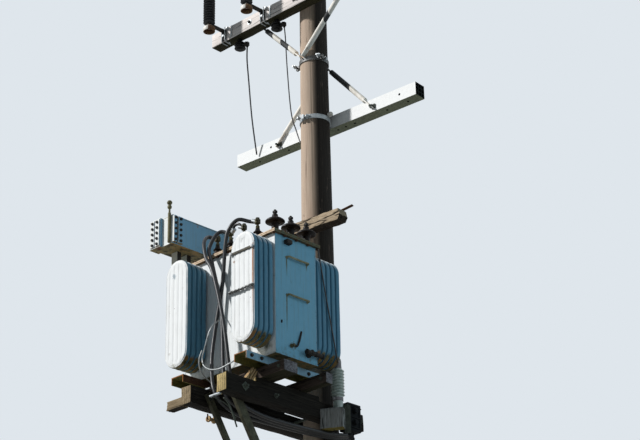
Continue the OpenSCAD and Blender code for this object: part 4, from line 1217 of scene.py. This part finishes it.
def make_lv_bushings():
    """Four ribbed low voltage bushings, each with its stud, clamp and nuts."""
    model = turned("ribbed_bushing", [
        (28, 0), (30, 2), (30, 15), (25, 18), (22, 22), (22, 36), (30, 40), (34, 44), (34, 48), (31, 52),
        (23, 57), (22, 60), (22, 66), (27, 70), (30, 74), (30, 77), (27, 81), (19, 87), (15, 102),
        (13, 106)], steps=40)
    bushings = copies(model, [((x, LV_Y, LID_TOP), UP) for x in LV_X], True)
    done(joined("ribbed_bushings", bushings), BROWN_GLAZE, "brown_glaze", "lv_bushings")
    parts = []
    for x in LV_X:
        parts.append(turned("stud", [(13, 105), (14, 107), (14, 112), (9, 113), (9, 181), (7, 182)],
                            (x, LV_Y, LID_TOP), 20))
        parts.append(block("clamp", (x - 17, LV_Y - 12, 6624), (x + 17, LV_Y + 12, 6658), 3))
        parts += copies(HEX_10, [((x, LV_Y - 12, 6634), FRONT, 10), ((x, LV_Y - 12, 6650), FRONT, 25)])
        parts += [turned("nut", [(13, 0), (14, 1), (14, 9), (13, 10)], (x, LV_Y, z), 6)
                  for z in (6599, 6660)]
    done(joined("terminal_clamps", parts), BRONZE, "galvanised")


# routes of the cables and wires, each point as x, y and height
Z0, BEAM_TOP, PLAT, UNDER = LID_TOP, BEAM_HIGH[2], BEAM_LOW[2], 5270
LUG_Z = 6646
LV_ROUTES = (
    ((-287, LV_Y, LUG_Z), (-330, -722, Z0 + 182), (-284, -802, Z0 + 100), (-218, -842, Z0 - 46),
     (-128, -860, Z0 - 188), (-10, -876, Z0 - 560), (70, -888, BEAM_TOP + 60), (84, -850, PLAT + 22),
     (94, -620, PLAT - 48), (196.42, -240, UNDER), (252.42, -60, UNDER), (266.42, -12, UNDER + 20)),
    ((-157, LV_Y, LUG_Z), (-212, -714, Z0 + 186), (-236, -752, Z0 + 140), (-242, -795, Z0 + 34),
     (-183, -815, Z0 - 100), (-71, -837, Z0 - 474), (-8, -872, BEAM_TOP + 90), (36, -866, PLAT + 18),
     (56, -612, PLAT - 48), (161.42, -232, UNDER), (224.42, -34, UNDER), (240.42, 22, UNDER + 20)),
    ((103, LV_Y, LUG_Z), (58, -706, Z0 + 174), (5, -762, Z0 + 186), (-48, -790, Z0 + 130),
     (-78, -796, Z0 + 30), (-114, -790, Z0 - 260), (-158, -812, Z0 - 580), (-150, -846, BEAM_TOP + 190),
     (-70, -880, PLAT + 70), (-14, -760, PLAT - 36), (18, -604, PLAT - 54), (126.42, -224, UNDER),
     (202.42, 2, UNDER), (220.42, 58, UNDER + 20)))
JUMPER = ((-27, LV_Y, LUG_Z), (-52, -698, 6680), (-98, -698, 6680), (-123, LV_Y, LUG_Z))
EARTH = (((-215, -745, 5558), (-200, -880, 5610), (-188, -922, 5680), (-160, -922, 5750)),
         ((150.5, -900, 5614), (100, -925, 5586), (10, -930, 5575), (-86, -922, 5600), (-160, -905, 5650),
          (-180, -900, 5700), (-162, -905, 5745), (-100, -895, 5900), (-110, -760, 6010)))
ARRESTER_LEAD = ((364, -373, 6462), (364, -345, 6330), (364, -310, 6160), (364, -258, 5930),
                 (364, -234, 5820), (356, -212, 5758), (334, -172, 5724), (296.4, -129, 5754),
                 (276.4, -119, 5786))


def make_cables():
    """The low voltage cables with their lugs and glands, the earth wires and the arrester's lead."""
    cables = [tube("cable", route, 26, sides=5) for route in LV_ROUTES]
    cables.append(tube("cable", JUMPER, 20, sides=4))
    done(joined("low_voltage_cables", cables), CABLE, "cable_black", "lv_cables")
    # each lug: where it sits, how thick it is and which way its cable leaves
    lugs = [tube("lug", [(x - 3 * way, LV_Y, LUG_Z), (x + 26 * way, LV_Y - 6, LUG_Z + 14)], across, 0, 5)
            for x, across, way in ((-287, 29, -1), (-157, 29, -1), (103, 29, -1), (-27, 24, -1),
                                   (-123, 29, 1))]
    done(joined("cable_lugs", lugs), ZINC, "galvanised")
    gland = [(20, -26), (21, -24), (21, -12), (17, -10), (17, 12), (19, 14), (19, 17)]
    glands = [turned("gland", gland, (x, y, z + 6), 24) for x, y, z in (route[-1] for route in LV_ROUTES)]
    done(joined("cable_glands", glands), MOULDED_BLACK, "cable_black")
    *earths, lead = [tube("wire", route, 9) for route in (*EARTH, ARRESTER_LEAD)]
    done(joined("earth_wires", earths), WIRE, "bare_wire", "thin_wires")
    done(lead, CABLE, "cable_black")


# Box at the far end: its own corners, and its narrower stepped end
(BOX_X0, _, BOX_Z0), (BOX_X1, BOX_Y1, BOX_Z1) = box("end_box")
BOX_Y0 = -848
NOSE_X0, NOSE_X1, NOSE_Y = -767, -661, -868


def make_end_box():
    """The stepped sheet metal box, its bolted covers with their seals and screws, its pipe and its posts."""
    case = block("case", (BOX_X0, BOX_Y0, BOX_Z0), (BOX_X1, BOX_Y1, BOX_Z1), 3, 3)
    cut_up(case, 1, 60)
    wear(case, 1.0, 110, 17)
    nose = block("case", (NOSE_X0, NOSE_Y, BOX_Z0 + 0.5), (NOSE_X1, BOX_Y0 + 60, BOX_Z1 - 0.5), 3, 3)
    parts = [case, nose]
    # folded lips round the top and the foot
    for low, high in ((BOX_Z0 - 1.5, BOX_Z0 + 6), (BOX_Z1 - 6, BOX_Z1 + 1.5)):
        parts.append(block("lip", (BOX_X0 - 2, BOX_Y0 - 1.5, low), (BOX_X1 + 3, BOX_Y1 + 3, high)))
        parts.append(block("lip", (NOSE_X0 - 2, NOSE_Y - 2, low + 0.4),
                           (NOSE_X1 + 2, BOX_Y0 + 62, high - 0.4)))
    done(joined("end_box_case", parts), BOX_PAINT, "tank_paint", "end_box")
    low, high = BOX_Z0 + 7, BOX_Z1 - 7
    covers = [block("cover", (NOSE_X0 + x0, NOSE_Y - 8, low), (NOSE_X0 + x1, NOSE_Y, high), 2)
              for x0, x1 in ((8, 50), (58, 102))]
    covers += [block("cover", (BOX_X1, BOX_Y0 + y0, low), (BOX_X1 + 20, BOX_Y0 + y1, high), 2)
               for y0, y1 in ((0, 27), (41, 84))]
    done(joined("bolted_covers", covers), BOX_PAINT, "tank_paint", "box_straps")
    low, high = low + 3, high - 3
    gaps = [block("gap", (NOSE_X0 + 48, NOSE_Y - 4, low), (NOSE_X0 + 60, NOSE_Y - 1, high), 1, 1),
            block("gap", (BOX_X1 - 1, BOX_Y0 + 24, low), (BOX_X1 + 9, BOX_Y0 + 44, high), 1, 1)]
    done(joined("cover_seals", gaps), RUBBER, "dark_rubber")
    spots = []
    for i in range(5):
        z = BOX_Z0 + 24 + i * 41
        spots += [((NOSE_X0 + x, NOSE_Y - 8, z), FRONT, 20 * i) for x in (33, 80)]
        spots += [((BOX_X1 + 20, BOX_Y0 + y, z), RIGHT, 20 * i) for y in (14, 60)]
    done(joined("cover_screws", copies(HEX_10, spots)), BLACK_STEEL, "dark_steel")
    pipe = [(9, 0), (11, 2), (11, 221), (8, 225), (7, 228), (7, 256), (13, 257), (15, 260), (15, 274),
            (13, 277), (9, 278), (9, 284), (13, 287), (17, 293), (19, 300), (17, 307), (13, 313), (8, 316),
            (4, 317)]
    done(turned("corner_pipe", pipe, (-578, -859, BOX_Z0 + 4)), OLIVE_PAINT, "dark_steel", "box_pipe")
    posts = dressed("box_brackets", "box_posts", 1.6)
    # the posts' right sides, away from the key lamp, are painted black as shade
    finish_faces(posts, (SKID_PAINT, BLACK_STEEL), lambda face: face.normal.x > 0.5)
    done(posts, SKID_PAINT, "tank_paint", "box_brackets")


def make_skids():
    """The two skid channels: olive brown inside and under as rust stain and painted shade, their front edges
    rusted, and a web that has lost its paint.
    """

    def side(face):
        """2 on a front edge, 1 inside a channel, 3 on the bare web, else 0."""
        x, way = face.center.x * 1000, face.normal
        if way.y < -0.5 and x <= 258:
            return 2
        if way.z < -0.5 or abs(way.x) > 0.5 and abs(abs(x + 90) - 298) < 54:
            return 1
        return 3 if way.x > 0.5 and x < 0 else 0

    channels = dressed("skids", "skid_channels", 1.6)
    finish_faces(channels, (SKID_PAINT, SKID_INSIDE, SKID_EDGE, RUSTY_STEEL), side)
    done(channels, SKID_PAINT, "tank_paint", "skids")
    spots = [((x, y, 5608), way, 20) for x, way in ((265.5, RIGHT), (-445.5, LEFT))
             for y in (-886, -800, -610, -380)]
    done(joined("skid_bolts", copies(HEX_12, spots)), BLACK_STEEL, "dark_steel")


def make_floor():
    """A pale floor for the stage. The light that it throws up is that of plain ground."""
    quiet()
    bpy.ops.mesh.primitive_plane_add(size=120)
    floor = named("floor")
    finish, add, place = finish_start("pale_floor")
    mottle = add("TexNoise", {"Vector": place, "Scale": 0.8, "Detail": 6})
    pale = add("ValToRGB", {0: mottle}, stops=((0.3, "#cfcdc8"), (0.7, "#d9d8d4")))
    colour = add("Mix", {0: seen_by_eye(add), 6: srgb(PLAIN_GROUND), 7: pale}, data_type="RGBA")
    add("OutputMaterial", {"Surface": add("BsdfPrincipled", {"Base Color": colour, "Roughness": 0.9})})
    floor.data.materials.append(finish)


for make in (set_camera, set_light, make_floor, make_pole, make_upper_arm, make_lower_arm, make_braces,
             make_upper_arresters, make_bells, make_drop_leads, make_top_timber, make_platform,
             make_brace_rods, make_wedges, make_connector, make_porcelain_arrester, make_tank,
             make_radiators, make_strap_and_chain, make_end_fittings, make_hv_bushings, make_lv_bushings,
             make_cables, make_end_box, make_skids):
    make()
for model in (HEX_16, HEX_12, HEX_10, HEX_8, SQUARE_16):
    bpy.data.objects.remove(model)
